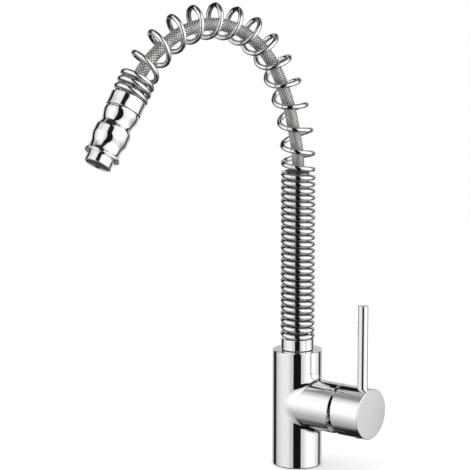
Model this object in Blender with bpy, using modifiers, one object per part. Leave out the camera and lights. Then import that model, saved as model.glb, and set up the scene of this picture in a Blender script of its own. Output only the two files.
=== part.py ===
"""Pull-out kitchen mixer tap with a spring neck and a side lever.

Run it with blender --background --python part.py, or from the text editor.
Metres, +Z up. The origin is the middle of the foot on the worktop. The side
branch with the lever points along +X. The neck arches over the sink, which
is on the -Y side, and stands a little turned there, as the tap was left.
"""

import math

import bmesh
import bpy
from mathutils import Vector

# Clearances and facets
GAP = 0.0003
OVERRUN = 0.002
MERGE = 0.00001
SIDES = 28
INNER_SIDES = 20
FINE_SIDES = 12
SHARP_ANGLE = math.radians(32)
QUARTER = math.pi / 2

# Hose, supply ports beside it, and the guide in the shank's mouth
HOSE_RADIUS = 0.006
HOSE_ROOM = 0.0005
PASSAGE_RADIUS = HOSE_RADIUS + HOSE_ROOM
PORT_WALL = 0.001
PORT_RADIUS = 0.0037
PORT_DEPTH = 0.010
TAIL_OFFSET = PASSAGE_RADIUS + PORT_WALL + PORT_RADIUS
CHANNEL_RADIUS = 0.0029
RUN_RADIUS = 0.0027
ELBOW_SHARE = 0.7
SUPPLY_LIFT = 0.004
OUTLET_DROP = 0.008
GROMMET_THICKNESS = 0.006
GROMMET_INSET = 0.0003

# Threaded shank round them, foot seal in its groove, and the body's radius
SHANK_ROOM = 0.0003
SHANK_BORE = TAIL_OFFSET + PORT_RADIUS + SHANK_ROOM
SHANK_WALL = 0.0018
SHANK_RADIUS = SHANK_BORE + SHANK_WALL
SHANK_DROP = 0.055
SHANK_CHAMFER = 0.001
RECESS_TOP = 0.012
FOOT_WALL = 0.0017
SEAL_THICKNESS = 0.002
SEAL_WIDTH = 0.0034
SEAL_EDGE = 0.0013
SEAL_INNER = SHANK_RADIUS + FOOT_WALL + 2 * GAP
SEAL_OUTER = SEAL_INNER + SEAL_WIDTH
FOOT_RIM = 0.001
BODY_RADIUS = SEAL_OUTER + SEAL_EDGE + FOOT_RIM

# Body: an upright cylinder and a branch of the same radius
BODY_TOP = 0.117
FOOT_LIFT = 0.0004
TOP_RIM = 0.0008
BRANCH_HEIGHT = 0.0641
BLEND = 0.012
MOUTH_RELIEF = math.radians(10.4)
HALF_STRIPS = 14
BLEND_STEPS = 4

# What clamps the shank below the worktop
WORKTOP = 0.030
CLAMP_WIDTH = 0.010
CLAMP_RADIUS = SHANK_RADIUS + CLAMP_WIDTH
RUBBER_THICKNESS = 0.003
WASHER_THICKNESS = 0.0015
NUT_WALL = 0.007
NUT_FLATS = 2 * (SHANK_RADIUS + NUT_WALL)
NUT_HEIGHT = 0.006
HEX_SIDES = 6

# Ferrule: its spigot turns in the body's top
SWIVEL_LIFT = 0.0006
FERRULE_HEIGHT = 0.0107
FERRULE_RIM = 0.0006
SPIGOT_RADIUS = 0.0119
SPIGOT_LENGTH = 0.0251
SPIGOT_FLOOR = 0.002
SPIGOT_BORE = SPIGOT_RADIUS + GAP
FERRULE_BORE = 0.0075
GLIDE_WIDTH = 0.0023
GLIDE_THICKNESS = 0.002
GLIDE_INNER = SPIGOT_RADIUS + GAP
GLIDE_OUTER = GLIDE_INNER + GLIDE_WIDTH
RING_SECTION = 0.00085
RING_STEPS = 6
RING_DROP = 0.012
CLIP_DROP = 0.0201
CLIP_THICKNESS = 0.001
CLIP_PROUD = 0.001
CLIP_BITE = 0.0013
CLIP_SPLIT = 0.010
FERRULE_FOOT = BODY_TOP + SWIVEL_LIFT
FERRULE_TOP = FERRULE_FOOT + FERRULE_HEIGHT
WIRE_RADIUS = 0.0025
COIL_RADIUS = 0.0148
FERRULE_INSET = 0.0006
FERRULE_RADIUS = COIL_RADIUS + WIRE_RADIUS - FERRULE_INSET

# Neck's centre line: upright, two bends, then straight to the dock
COLUMN_RUN = 0.1728
FIRST_BEND = 0.1757
FIRST_ANGLE = math.radians(33.8)
SECOND_BEND = 0.1039
SECOND_ANGLE = math.radians(113.2)
DOCK_RUN = 0.0219
REST_SWIVEL_ANGLE = math.radians(8.4)
ARCH_FOOT = FERRULE_TOP + COLUMN_RUN
DOCK_LEAN = FIRST_ANGLE + SECOND_ANGLE
DOCK_END = ARCH_FOOT + FIRST_BEND * FIRST_ANGLE + SECOND_BEND * SECOND_ANGLE + DOCK_RUN

# Spring: one wire, closed on the column, open over the arch, closed on the collar
COIL_GAP = 0.0006
COIL_POINTS = 9
END_FLAT_SHARE = 0.28
CLOSE_TURNS = 23.28
CLOSE_PITCH = 0.0066
WIDENING_TURNS = 2.64
OPEN_TURNS = 9.5
STRETCH_TURNS = 2.0
STRETCH_SHARE = 1.465
CLOSING_SHARE = 0.305
TOP_TURNS = 1.8
TOP_PITCH = 0.00683
COIL_START = math.radians(57.5)

# Riser tube in the closed coils, and the bush at its mouth
COIL_BORE = (COIL_RADIUS * math.cos(math.pi / COIL_POINTS)) - WIRE_RADIUS
RISER_ROOM = 0.00036
RISER_RADIUS = COIL_BORE - RISER_ROOM
RISER_WALL = 0.0018
RISER_SEAT = 0.0015
RISER_DROP = 0.007
BUSH_SKIRT = 0.012
BUSH_BRIM = 0.0025
BUSH_LIP = 0.001

# Docking collar at the end of the neck
COLLAR_NECK = 0.018
COLLAR_INSET = 0.00045
COLLAR_TOP_RADIUS = COIL_RADIUS + WIRE_RADIUS - COLLAR_INSET
COLLAR_WAIST = 0.0167
COLLAR_SEAM_RADIUS = 0.0168
COLLAR_LENGTH = 0.0129
COLLAR_RIM = 0.0008
COLLAR_CEILING = 0.002
COLLAR_STEPS = 2
DOCK_SLEEVE = 0.001
DOCK_TOP = 0.0033
DOCK_WALL = 0.0019

# Handset shell: bulb, waist, bulb, neck and flange, by distance below the collar's top
SHELL_SHOULDER = 0.01645
BULB_1_AT = 0.0160
BULB_1 = 0.0165
WAIST_AT = 0.0268
WAIST = 0.01445
BULB_2_AT = 0.0345
BULB_2_RUN = 0.0055
BULB_2 = 0.0168
NECK_AT = 0.0497
NECK = 0.0147
FLANGE_AT = 0.0573
FLANGE = 0.0168
FLANGE_THICKNESS = 0.0015
EASE_STEPS = 4
FLANGE_RIM = 0.0003

# Hose end, nut and valve inside the handset
CRIMP_TOP = 0.0023
CRIMP_LENGTH = 0.0063
CRIMP_WALL = 0.0011
STEM_LIP = 0.0009
STEM_FLANGE = HOSE_RADIUS + CRIMP_WALL + 2 * GAP + STEM_LIP
STEM_FLANGE_THICKNESS = 0.0015
STEM_TUBE = 0.004
STEM_BORE = 0.0027
STEM_LENGTH = 0.0096
NUT_LIP = 0.0017
HOSE_NUT_WALL = 0.0015
HOSE_NUT_END = 0.020
DOCK_RADIUS = STEM_FLANGE + HOSE_NUT_WALL + 2 * GAP + DOCK_WALL
INLET_THICKNESS = 0.0017
VALVE_RADIUS = 0.0087
VALVE_END = 0.036
VALVE_BORE = 0.003
SHELL_BORE_1_END = 0.022
OUTLET_WAY = 0.007
AERATOR_SEAT = 0.0478

# Aerator below the flange
AERATOR_THREAD = 0.0118
AERATOR_RADIUS = 0.01265
AERATOR_BORE = 0.0106
AERATOR_END = 0.0678
AERATOR_RIM = 0.0006
AERATOR_SEAL_THICKNESS = 0.0015
AERATOR_SEAL_WIDTH = 0.0025
INSERT_TOP = 0.0525
INSERT_BORE = 0.006
INSERT_FLOOR = 0.003
MESH_INSET = 0.0008
MESH_THICKNESS = 0.0008
MESH_CELL = 0.0018
MESH_PITCH = 0.0042
MESH_RINGS = 2

# Cartridge in the branch, by distance along the branch
CARTRIDGE_RADIUS = 0.0175
WATERWAY_WALL = 0.0019
CHAMBER_FLOOR = TAIL_OFFSET + CHANNEL_RADIUS + WATERWAY_WALL
CARTRIDGE_SEAL_THICKNESS = 0.0015
CARTRIDGE_SEAL_EDGE = 0.001
BASE_FLANGE = 0.002
BASE_BOSS = 0.002
DISC_RADIUS = 0.013
DISC_THICKNESS = 0.004
DISC_PORT = 0.0028
DISC_PORT_SIDE = 0.0075
DISC_OUTLET_DROP = 0.006
SLIDER_RADIUS = 0.0115
POCKET_DEPTH = 0.0025
POCKET_HALF = 0.0068
POCKET_TOP = 0.0005
POCKET_LOW = 0.0075
CARRIER_THICKNESS = 0.005
SOCKET_FLOOR = 0.001
ROTOR_FLANGE = 0.0047
ROTOR_SIDE_ROOM = 0.0005
HOUSING_WALL = 0.0016
HOUSING_FRONT = 0.0022
HOUSING_NECK = 0.0045
HOUSING_NECK_WALL = 0.0021
ROTOR_NECK_RADIUS = 0.011
ROTOR_NECK_LENGTH = 0.010
ROTOR_NECK_ROOM = 0.0004
NUT_STEP = 0.0025
NUT_LENGTH = 0.0062
MOUTH_MARGIN = 0.0038
NUT_BORE_ROOM = 0.0005
SEAL_FOOT = CHAMBER_FLOOR + GAP
BASE_FOOT = SEAL_FOOT + CARTRIDGE_SEAL_THICKNESS + GAP
BASE_STEP = BASE_FOOT + BASE_FLANGE
DISC_FOOT = BASE_STEP + BASE_BOSS + GAP
SLIDER_FOOT = DISC_FOOT + DISC_THICKNESS + GAP
CARRIER_FOOT = SLIDER_FOOT + DISC_THICKNESS + GAP
CARRIER_END = CARRIER_FOOT + CARRIER_THICKNESS
ROTOR_FOOT = CARRIER_END + GAP
ROTOR_STEP = ROTOR_FOOT + ROTOR_FLANGE
HOUSING_FACE = ROTOR_STEP + GAP
HOUSING_SHOULDER = HOUSING_FACE + HOUSING_FRONT
CHAMBER_RADIUS = CARTRIDGE_RADIUS + GAP
HOUSING_BORE = CARTRIDGE_RADIUS - HOUSING_WALL
NUT_RADIUS = CARTRIDGE_RADIUS + NUT_STEP
MOUTH_RADIUS = NUT_RADIUS + GAP
HOUSING_NECK_BORE = ROTOR_NECK_RADIUS + ROTOR_NECK_ROOM
HOUSING_NECK_RADIUS = HOUSING_NECK_BORE + HOUSING_NECK_WALL
NUT_FOOT = HOUSING_SHOULDER + GAP
NUT_FACE = NUT_FOOT + NUT_LENGTH
BRANCH_REACH = NUT_FACE + MOUTH_MARGIN

# Lever: spindle on a cross pin, cap, rod and grub screw
TILT = math.radians(12)
PIVOT_AHEAD = 0.0037
PIVOT = HOUSING_SHOULDER + PIVOT_AHEAD
PIN_RADIUS = 0.0015
PIN_ROOM = 0.00015
PIN_INSET = 0.0005
BALL_RADIUS = 0.003
BALL_DEPTH = 0.002
BALL_FLAT = 0.0015
FINGER_RADIUS = 0.0024
BOSS_RADIUS = 0.0046
BOSS_BACK = 0.005
BOSS_AHEAD = 0.008
SQUARE = 0.0075
SQUARE_BACK = 0.002
BALL_AT = CARRIER_END - BALL_DEPTH
DOME_RADIUS = 0.0195
DOME_WALL = 0.0015
DOME_OPENING = 0.010
DOME_ROOM = 0.0013
DOME_STEPS = 5
LEVER_GAP = 0.0034
CAP_WALL = 0.0027
CAP_LENGTH = 0.0321
CAP_FACE = 0.0087
CAP_RIM = 0.0008
CAP_SLANT = math.radians(2.3)
CAP_FOOT = BRANCH_REACH + LEVER_GAP
CAP_END = CAP_FOOT + CAP_LENGTH
CAP_CEILING = PIVOT + DOME_RADIUS + DOME_ROOM
SOCKET_END = CAP_END - CAP_FACE
ROD_RADIUS = 0.00525
ROD_INSET = 0.0109
ROD_SEAT = 0.008
ROD_RISE = 0.1063
ROD_RIM = 0.0008
GRUB_INSET = 0.0146
GRUB_RADIUS = 0.0025
GRUB_LENGTH = 0.010
PLUG_RADIUS = 0.0031
PLUG_SEAT = 0.002
PLUG_PROUD = 0.0015

# Colours, roughness and metal
CHROME = ((0.82, 0.83, 0.84), 0.06, 1.0)
BRASS = ((0.80, 0.62, 0.30), 0.30, 1.0)
STEEL = ((0.62, 0.63, 0.64), 0.28, 1.0)
RUBBER = ((0.02, 0.02, 0.02), 0.70, 0.0)
BLACK_PLASTIC = ((0.03, 0.03, 0.03), 0.45, 0.0)
WHITE_PLASTIC = ((0.82, 0.82, 0.80), 0.40, 0.0)
GREY_PLASTIC = ((0.36, 0.36, 0.36), 0.45, 0.0)
CERAMIC = ((0.90, 0.88, 0.84), 0.25, 0.0)
BRAID = ((0.55, 0.55, 0.51), 0.45, 0.6)


# Scene helpers


def clear_scene():
    for item in list(bpy.data.objects):
        bpy.data.objects.remove(item)


def collection(name):
    group = bpy.data.collections.new(name)
    bpy.context.scene.collection.children.link(group)
    return group


def finish_of(name, finish):
    color, roughness, metallic = finish
    material = bpy.data.materials.new(name + "_finish")
    material.use_nodes = True
    shader = material.node_tree.nodes["Principled BSDF"]
    shader.inputs["Base Color"].default_value = (*color, 1.0)
    shader.inputs["Roughness"].default_value = roughness
    shader.inputs["Metallic"].default_value = metallic
    return material


def new_object(name, data, group, frame, at=(0, 0, 0), turn=(0, 0, 0)):
    item = bpy.data.objects.new(name, data)
    group.objects.link(item)
    item.parent = frame
    item.location = at
    item.rotation_euler = turn
    return item


def empty(name, frame=None, at=(0, 0, 0), turn=(0, 0, 0)):
    return new_object(name, None, TAP, frame, at, turn)


def part(name, data, finish, frame=None, at=(0, 0, 0), turn=(0, 0, 0)):
    data.materials.append(finish_of(name, finish))
    return new_object(name, data, TAP, frame, at, turn)


def hidden(name, data, frame=None, at=(0, 0, 0), turn=(0, 0, 0)):
    item = new_object(name, data, CUTTERS, frame, at, turn)
    item.display_type = "WIRE"
    item.hide_render = True
    return item


# Shape helpers


def mesh_from(name, build):
    """Mesh filled by build(bm), shaded smooth with sharp edges kept."""
    mesh = bpy.data.meshes.new(name)
    bm = bmesh.new()
    build(bm)
    bm.to_mesh(mesh)
    bm.free()
    mesh.shade_smooth()
    mesh.set_sharp_from_angle(angle=SHARP_ANGLE)
    return mesh


def box_mesh(name, size):
    def build(bm):
        bmesh.ops.create_cube(bm, size=1)
        bmesh.ops.scale(bm, vec=size, verts=bm.verts)
    return mesh_from(name, build)


def rod_mesh(name, radius, length, sides=FINE_SIDES):
    def build(bm):
        bmesh.ops.create_cone(bm, cap_ends=True, segments=sides, radius1=radius,
                              radius2=radius, depth=length)
    return mesh_from(name, build)


def profile_mesh(name, points):
    """Outline (radius, height) to be turned, closed unless it meets the axis."""
    mesh = bpy.data.meshes.new(name)
    edges = [(i, i + 1) for i in range(len(points) - 1)]
    if points[0][0] > 0:
        edges.append((len(points) - 1, 0))
    mesh.from_pydata([(radius, 0, height) for radius, height in points], edges, [])
    return mesh


def turn_profile(item, sides):
    screw = item.modifiers.new("turned", "SCREW")
    screw.axis = "Z"
    screw.steps = sides
    screw.render_steps = sides
    screw.use_merge_vertices = True
    screw.merge_threshold = MERGE
    screw.use_smooth_shade = True
    return item


def turned(name, points, finish, frame=None, at=(0, 0, 0), turn=(0, 0, 0), sides=SIDES):
    item = part(name, profile_mesh(name, points), finish, frame, at, turn)
    return turn_profile(item, sides)


def turned_cutter(name, points, frame=None, at=(0, 0, 0), turn=(0, 0, 0), sides=SIDES):
    item = hidden(name, profile_mesh(name, points), frame, at, turn)
    return turn_profile(item, sides)


def combine(item, other, operation="DIFFERENCE"):
    boolean = item.modifiers.new(other.name, "BOOLEAN")
    boolean.operation = operation
    boolean.solver = "EXACT"
    boolean.object = other


def ring(outer, inner, low, high):
    """Loop down the outer side and up the bore."""
    return [(outer, high), (outer, low), (inner, low), (inner, high)]


def solid(radius, low, high):
    """From the axis at the top, out, down and back to the axis."""
    return [(0, high), (radius, high), (radius, low), (0, low)]


def arc(middle, radius, first, last, steps):
    """Points on a circle in the outline's plane, angles from the +radius side."""
    points = []
    for i in range(steps + 1):
        angle = first + (last - first) * i / steps
        points.append((middle[0] + radius * math.cos(angle),
                       middle[1] + radius * math.sin(angle)))
    return points


def eased(start, end, steps):
    """Half a cosine wave from one (radius, distance) point to the next, the first left out."""
    points = []
    for i in range(1, steps + 1):
        share = (1 - math.cos(math.pi * i / steps)) / 2
        along = start[1] + (end[1] - start[1]) * i / steps
        points.append((start[0] + (end[0] - start[0]) * share, along))
    return points


def below(points):
    """Outline given by distance down from the collar's top, as heights."""
    return [(radius, -distance) for radius, distance in points]


def tube(name, points, radius, resolution, finish, frame):
    curve = bpy.data.curves.new(name, "CURVE")
    curve.dimensions = "3D"
    curve.bevel_depth = radius
    curve.bevel_resolution = resolution
    curve.use_fill_caps = True
    spline = curve.splines.new("POLY")
    spline.points.add(len(points) - 1)
    for place, point in zip(spline.points, points):
        place.co = (*point, 1)
    return part(name, curve, finish, frame)


# Body casting


def foot_ring(side, radius, height):
    return Vector((radius * math.cos(side), radius * math.sin(side), height))


def skin_path(side, up):
    """Line on the skin from an end of the body to the branch's mouth, up is -1 or 1."""
    end = BODY_TOP if up > 0 else FOOT_LIFT
    rim = TOP_RIM if up > 0 else FOOT_RIM
    across = BODY_RADIUS * math.sin(side)
    ahead = BODY_RADIUS * math.cos(side)
    blend = BLEND * math.cos(side)
    crest = BRANCH_HEIGHT + up * ahead
    path = [foot_ring(side, BODY_RADIUS - rim, end)]
    path.append(foot_ring(side, BODY_RADIUS, end - up * rim))
    for i in range(BLEND_STEPS + 1):
        angle = QUARTER * i / BLEND_STEPS
        path.append(Vector((ahead + blend * (1 - math.cos(angle)), across,
                            crest + up * blend * (1 - math.sin(angle)))))
    relief = ahead * math.tan(MOUTH_RELIEF) if up < 0 else 0
    path.append(Vector((BRANCH_REACH - relief, across, crest)))
    return path


def back_path(side):
    path = [foot_ring(side, BODY_RADIUS - FOOT_RIM, FOOT_LIFT)]
    path.append(foot_ring(side, BODY_RADIUS, FOOT_LIFT + FOOT_RIM))
    path.append(foot_ring(side, BODY_RADIUS, BRANCH_HEIGHT))
    path.append(foot_ring(side, BODY_RADIUS, BODY_TOP - TOP_RIM))
    path.append(foot_ring(side, BODY_RADIUS - TOP_RIM, BODY_TOP))
    return path


def loft(bm, paths):
    """Quads between neighbouring paths, returned with the rows of vertices."""
    rows = [[bm.verts.new(point) for point in path] for path in paths]
    for left, right in zip(rows, rows[1:]):
        for i in range(len(left) - 1):
            bm.faces.new((left[i], right[i], right[i + 1], left[i + 1]))
    return rows


def casting_skin(bm):
    """Body and branch as one closed skin, lofted between unlike sections."""
    front = [math.pi * i / HALF_STRIPS - QUARTER for i in range(HALF_STRIPS + 1)]
    back = [QUARTER + math.pi * i / HALF_STRIPS for i in range(HALF_STRIPS + 1)]
    lower = loft(bm, [skin_path(side, -1) for side in front])
    upper = loft(bm, [skin_path(side, 1) for side in front])
    rear = loft(bm, [back_path(side) for side in back])
    bm.faces.new([row[0] for row in lower] + [row[0] for row in rear[1:-1]])
    bm.faces.new([row[0] for row in upper] + [row[-1] for row in rear[1:-1]])
    bm.faces.new([row[-1] for row in lower])
    bm.faces.new([row[-1] for row in upper])
    bmesh.ops.remove_doubles(bm, verts=bm.verts, dist=MERGE)
    bmesh.ops.dissolve_degenerate(bm, edges=bm.edges, dist=MERGE)
    bmesh.ops.recalc_face_normals(bm, faces=bm.faces)


def waterway(name, x, y, height):
    """Port, upright channel and level channel to the chamber's floor."""
    crown = height + ELBOW_SHARE * CHANNEL_RADIUS
    port_end = RECESS_TOP + PORT_DEPTH
    upright = [(0, crown), (CHANNEL_RADIUS, crown), (CHANNEL_RADIUS, port_end),
               (PORT_RADIUS, port_end), (PORT_RADIUS, RECESS_TOP - OVERRUN),
               (0, RECESS_TOP - OVERRUN)]
    riser = turned_cutter(name + "_riser", upright, at=(x, y, 0), sides=FINE_SIDES)
    start = x - ELBOW_SHARE * CHANNEL_RADIUS
    level = solid(RUN_RADIUS, start, CHAMBER_FLOOR + OVERRUN)
    run = turned_cutter(name + "_run", level, at=(0, y, height), turn=(0, QUARTER, 0),
                        sides=FINE_SIDES)
    return riser, run


def body_casting():
    body = part("body_casting", mesh_from("body_casting", casting_skin), CHROME)
    spigot_floor = FERRULE_FOOT - SPIGOT_LENGTH - SPIGOT_FLOOR
    clip_low, clip_high = clip_slot()
    glide_floor = FERRULE_FOOT - GLIDE_THICKNESS - 2 * GAP
    way = [(0, BODY_TOP + OVERRUN), (GLIDE_OUTER + GAP, BODY_TOP + OVERRUN),
           (GLIDE_OUTER + GAP, glide_floor), (SPIGOT_BORE, glide_floor),
           (SPIGOT_BORE, clip_high), (clip_outer() + GAP, clip_high),
           (clip_outer() + GAP, clip_low), (SPIGOT_BORE, clip_low),
           (SPIGOT_BORE, spigot_floor), (PASSAGE_RADIUS, spigot_floor),
           (PASSAGE_RADIUS, RECESS_TOP), (SHANK_RADIUS + GAP, RECESS_TOP),
           (SHANK_RADIUS + GAP, -OVERRUN), (0, -OVERRUN)]
    combine(body, turned_cutter("cut_hose_way", way, sides=INNER_SIDES))
    groove = ring(SEAL_OUTER + GAP, SEAL_INNER - GAP, -OVERRUN, SEAL_THICKNESS + GAP)
    combine(body, turned_cutter("cut_seal_groove", groove))
    chamber = [(0, BRANCH_REACH + OVERRUN), (MOUTH_RADIUS, BRANCH_REACH + OVERRUN),
               (MOUTH_RADIUS, HOUSING_SHOULDER), (CHAMBER_RADIUS, HOUSING_SHOULDER),
               (CHAMBER_RADIUS, CHAMBER_FLOOR), (0, CHAMBER_FLOOR)]
    combine(body, turned_cutter("cut_chamber", chamber, LEVER_FRAME))
    supply = BRANCH_HEIGHT + SUPPLY_LIFT
    outlet = BRANCH_HEIGHT - OUTLET_DROP
    ways = [("cut_hot", 0, TAIL_OFFSET, supply), ("cut_cold", 0, -TAIL_OFFSET, supply),
            ("cut_mixed", TAIL_OFFSET, 0, outlet)]
    for name, x, y, height in ways:
        for cutter in waterway(name, x, y, height):
            combine(body, cutter)


# Foot and clamp


def base_seal():
    turned("base_seal", ring(SEAL_OUTER, SEAL_INNER, 0, SEAL_THICKNESS), RUBBER)


def threaded_shank():
    top = RECESS_TOP - GAP
    outline = [(SHANK_RADIUS, top), (SHANK_RADIUS, SHANK_CHAMFER - SHANK_DROP),
               (SHANK_RADIUS - SHANK_CHAMFER, -SHANK_DROP), (SHANK_BORE, -SHANK_DROP),
               (SHANK_BORE, top)]
    turned("threaded_shank", outline, BRASS, sides=INNER_SIDES)


def clamp():
    """Rubber washer, steel washer and hexagon nut below the worktop."""
    bore = SHANK_RADIUS + GAP
    rubber_low = -WORKTOP - RUBBER_THICKNESS
    turned("rubber_washer", ring(CLAMP_RADIUS, bore, rubber_low, -WORKTOP), RUBBER,
           sides=INNER_SIDES)
    washer_top = rubber_low - GAP
    washer_low = washer_top - WASHER_THICKNESS
    turned("clamp_washer", ring(CLAMP_RADIUS, bore, washer_low, washer_top), STEEL,
           sides=INNER_SIDES)
    nut_top = washer_low - GAP
    corner = NUT_FLATS / 2 / math.cos(math.pi / HEX_SIDES)
    nut = part("fixing_nut", rod_mesh("fixing_nut", corner, NUT_HEIGHT, HEX_SIDES), BRASS,
               at=(0, 0, nut_top - NUT_HEIGHT / 2))
    hole = solid(bore, nut_top - NUT_HEIGHT - OVERRUN, nut_top + OVERRUN)
    combine(nut, turned_cutter("cut_nut_bore", hole))


def hose_grommet():
    """Disc in the shank's mouth: hose hole in the middle and a slot for each tail."""
    low = GROMMET_INSET - SHANK_DROP
    high = low + GROMMET_THICKNESS
    grommet = turned("hose_grommet", ring(SHANK_BORE - GAP, HOSE_RADIUS + GAP, low, high),
                     BLACK_PLASTIC)
    slot_half = PORT_RADIUS + GAP
    inner = TAIL_OFFSET - slot_half
    reach = SHANK_BORE + OVERRUN - inner
    size = (reach, 2 * slot_half, GROMMET_THICKNESS + 2 * OVERRUN)
    height = (low + high) / 2
    for name, angle in (("hot", QUARTER), ("cold", -QUARTER), ("mixed", 0)):
        middle = inner + reach / 2
        place = (middle * math.cos(angle), middle * math.sin(angle), height)
        slot = hidden("cut_tail_" + name, box_mesh("cut_tail_" + name, size), at=place,
                      turn=(0, 0, angle))
        combine(grommet, slot)


def swivel_glide_ring():
    high = FERRULE_FOOT - GAP
    turned("swivel_glide_ring", ring(GLIDE_OUTER, GLIDE_INNER, high - GLIDE_THICKNESS, high),
           WHITE_PLASTIC, sides=INNER_SIDES)


# Ferrule and what it carries


def clip_outer():
    return SPIGOT_RADIUS + CLIP_PROUD


def clip_inner():
    return SPIGOT_RADIUS - CLIP_BITE


def clip_slot():
    """Low and high side of the slots that the split ring sits in."""
    high = FERRULE_FOOT - CLIP_DROP + CLIP_THICKNESS / 2 + GAP
    return high - CLIP_THICKNESS - 2 * GAP, high


def ring_slot():
    high = FERRULE_FOOT - RING_DROP + RING_SECTION + GAP
    return high - 2 * RING_SECTION - 2 * GAP, high


def ring_middle():
    return SPIGOT_BORE - GAP - RING_SECTION


def spout_ferrule():
    clip_low, clip_high = clip_slot()
    ring_low, ring_high = ring_slot()
    clip_floor = clip_inner() - GAP
    ring_floor = ring_middle() - RING_SECTION - GAP
    seat = RISER_RADIUS + GAP
    seat_low = FERRULE_FOOT + RISER_SEAT
    foot = FERRULE_FOOT - SPIGOT_LENGTH
    outline = [(FERRULE_RADIUS - FERRULE_RIM, FERRULE_TOP),
               (FERRULE_RADIUS, FERRULE_TOP - FERRULE_RIM),
               (FERRULE_RADIUS, FERRULE_FOOT + FERRULE_RIM),
               (FERRULE_RADIUS - FERRULE_RIM, FERRULE_FOOT),
               (SPIGOT_RADIUS, FERRULE_FOOT), (SPIGOT_RADIUS, ring_high),
               (ring_floor, ring_high), (ring_floor, ring_low), (SPIGOT_RADIUS, ring_low),
               (SPIGOT_RADIUS, clip_high), (clip_floor, clip_high), (clip_floor, clip_low),
               (SPIGOT_RADIUS, clip_low), (SPIGOT_RADIUS, foot), (FERRULE_BORE, foot),
               (FERRULE_BORE, seat_low), (seat, seat_low), (seat, FERRULE_TOP)]
    turned("spout_ferrule", outline, CHROME, SPOUT_FRAME)


def spigot_clip():
    """Split ring, half in the spigot and half in the body."""
    low, high = clip_slot()
    clip = turned("spigot_clip", ring(clip_outer(), clip_inner(), low + GAP, high - GAP),
                  STEEL, SPOUT_FRAME, sides=INNER_SIDES)
    size = (2 * clip_outer(), CLIP_SPLIT, CLIP_THICKNESS + 2 * OVERRUN)
    split = hidden("cut_clip_split", box_mesh("cut_clip_split", size), SPOUT_FRAME,
                   at=(-clip_outer(), 0, (low + high) / 2))
    combine(clip, split)


def spigot_o_ring():
    low, high = ring_slot()
    circle = arc((ring_middle(), (low + high) / 2), RING_SECTION, math.pi, -math.pi,
                 RING_STEPS)
    turned("spigot_o_ring", circle[:-1], RUBBER, SPOUT_FRAME, sides=INNER_SIDES)


def riser():
    """Stiff tube inside the closed coils, with a rounded mouth for the hose."""
    foot = FERRULE_FOOT + RISER_SEAT + GAP
    top = ARCH_FOOT - RISER_DROP
    bore = RISER_RADIUS - RISER_WALL
    turned("riser_tube", ring(RISER_RADIUS, bore, foot, top), STEEL, SPOUT_FRAME,
           sides=INNER_SIDES)
    brim_low = top + GAP
    brim_high = brim_low + BUSH_BRIM
    skirt_low = top - BUSH_SKIRT
    hole = HOSE_RADIUS + HOSE_ROOM
    bush = [(RISER_RADIUS - BUSH_LIP, brim_high), (RISER_RADIUS, brim_high - BUSH_LIP),
            (RISER_RADIUS, brim_low), (bore - GAP, brim_low), (bore - GAP, skirt_low),
            (hole, skirt_low), (hole, brim_high - BUSH_LIP), (hole + BUSH_LIP, brim_high)]
    turned("riser_bush", bush, WHITE_PLASTIC, SPOUT_FRAME, sides=INNER_SIDES)


# Spring and hose along the neck


def neck(along):
    """Point on the neck's centre line and its lean, by the length from the worktop."""
    point = Vector((0, 0, min(along, ARCH_FOOT)))
    left = max(along - ARCH_FOOT, 0)
    lean = 0
    for radius, angle in ((FIRST_BEND, FIRST_ANGLE), (SECOND_BEND, SECOND_ANGLE)):
        bent = min(left / radius, angle)
        middle = point - radius * Vector((0, math.cos(lean), math.sin(lean)))
        lean += bent
        point = middle + radius * Vector((0, math.cos(lean), math.sin(lean)))
        left = left - bent * radius
    return point + left * Vector((0, -math.sin(lean), math.cos(lean))), lean


def spring_stages():
    """Turns with the rise per turn at each stage's start and end, ending on the collar."""
    first = FERRULE_TOP + GAP + WIRE_RADIUS
    last = DOCK_END - GAP - WIRE_RADIUS
    climb = 2 * WIRE_RADIUS + COIL_GAP
    closing = climb / (1 - END_FLAT_SHARE)
    low = [(END_FLAT_SHARE, 0, 0), (1 - END_FLAT_SHARE, closing, closing),
           (CLOSE_TURNS, CLOSE_PITCH, CLOSE_PITCH)]
    high = [(TOP_TURNS, TOP_PITCH, TOP_PITCH), (1 - END_FLAT_SHARE, closing, closing),
            (END_FLAT_SHARE, 0, 0)]
    used = sum(turns * (start + end) / 2 for turns, start, end in low + high)
    used += WIDENING_TURNS * CLOSE_PITCH / 2 + CLOSING_SHARE * TOP_PITCH / 2
    weight = WIDENING_TURNS / 2 + OPEN_TURNS + STRETCH_TURNS * (1 + STRETCH_SHARE) / 2
    weight += CLOSING_SHARE * STRETCH_SHARE / 2
    pitch = (last - first - used) / weight
    wide = pitch * STRETCH_SHARE
    middle = [(WIDENING_TURNS, CLOSE_PITCH, pitch), (OPEN_TURNS, pitch, pitch),
              (STRETCH_TURNS, pitch, wide), (CLOSING_SHARE, wide, TOP_PITCH)]
    return first, low + middle + high


def spring_height(turn, first, stages):
    """Length along the neck that the wire has reached after some turns."""
    along = first
    for turns, start, end in stages:
        done = min(turn, turns)
        along += done * start + (end - start) * done * done / (2 * turns)
        turn -= done
    return along


def spring_points():
    first, stages = spring_stages()
    total = sum(stage[0] for stage in stages)
    count = round(total * COIL_POINTS)
    points = []
    for i in range(count + 1):
        turn = total * i / count
        middle, lean = neck(spring_height(turn, first, stages))
        angle = COIL_START - 2 * math.pi * turn
        outward = Vector((0, math.cos(lean), math.sin(lean)))
        side = Vector((1, 0, 0))
        points.append(middle + COIL_RADIUS * (math.cos(angle) * side
                                              + math.sin(angle) * outward))
    return points


def least_gap(points, radius, apart):
    """Least clear distance between stretches of a wound tube, measured on its points."""
    least = min((points[i] - points[j]).length
                for i in range(len(points)) for j in range(i + apart, len(points)))
    return least - 2 * radius


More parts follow.
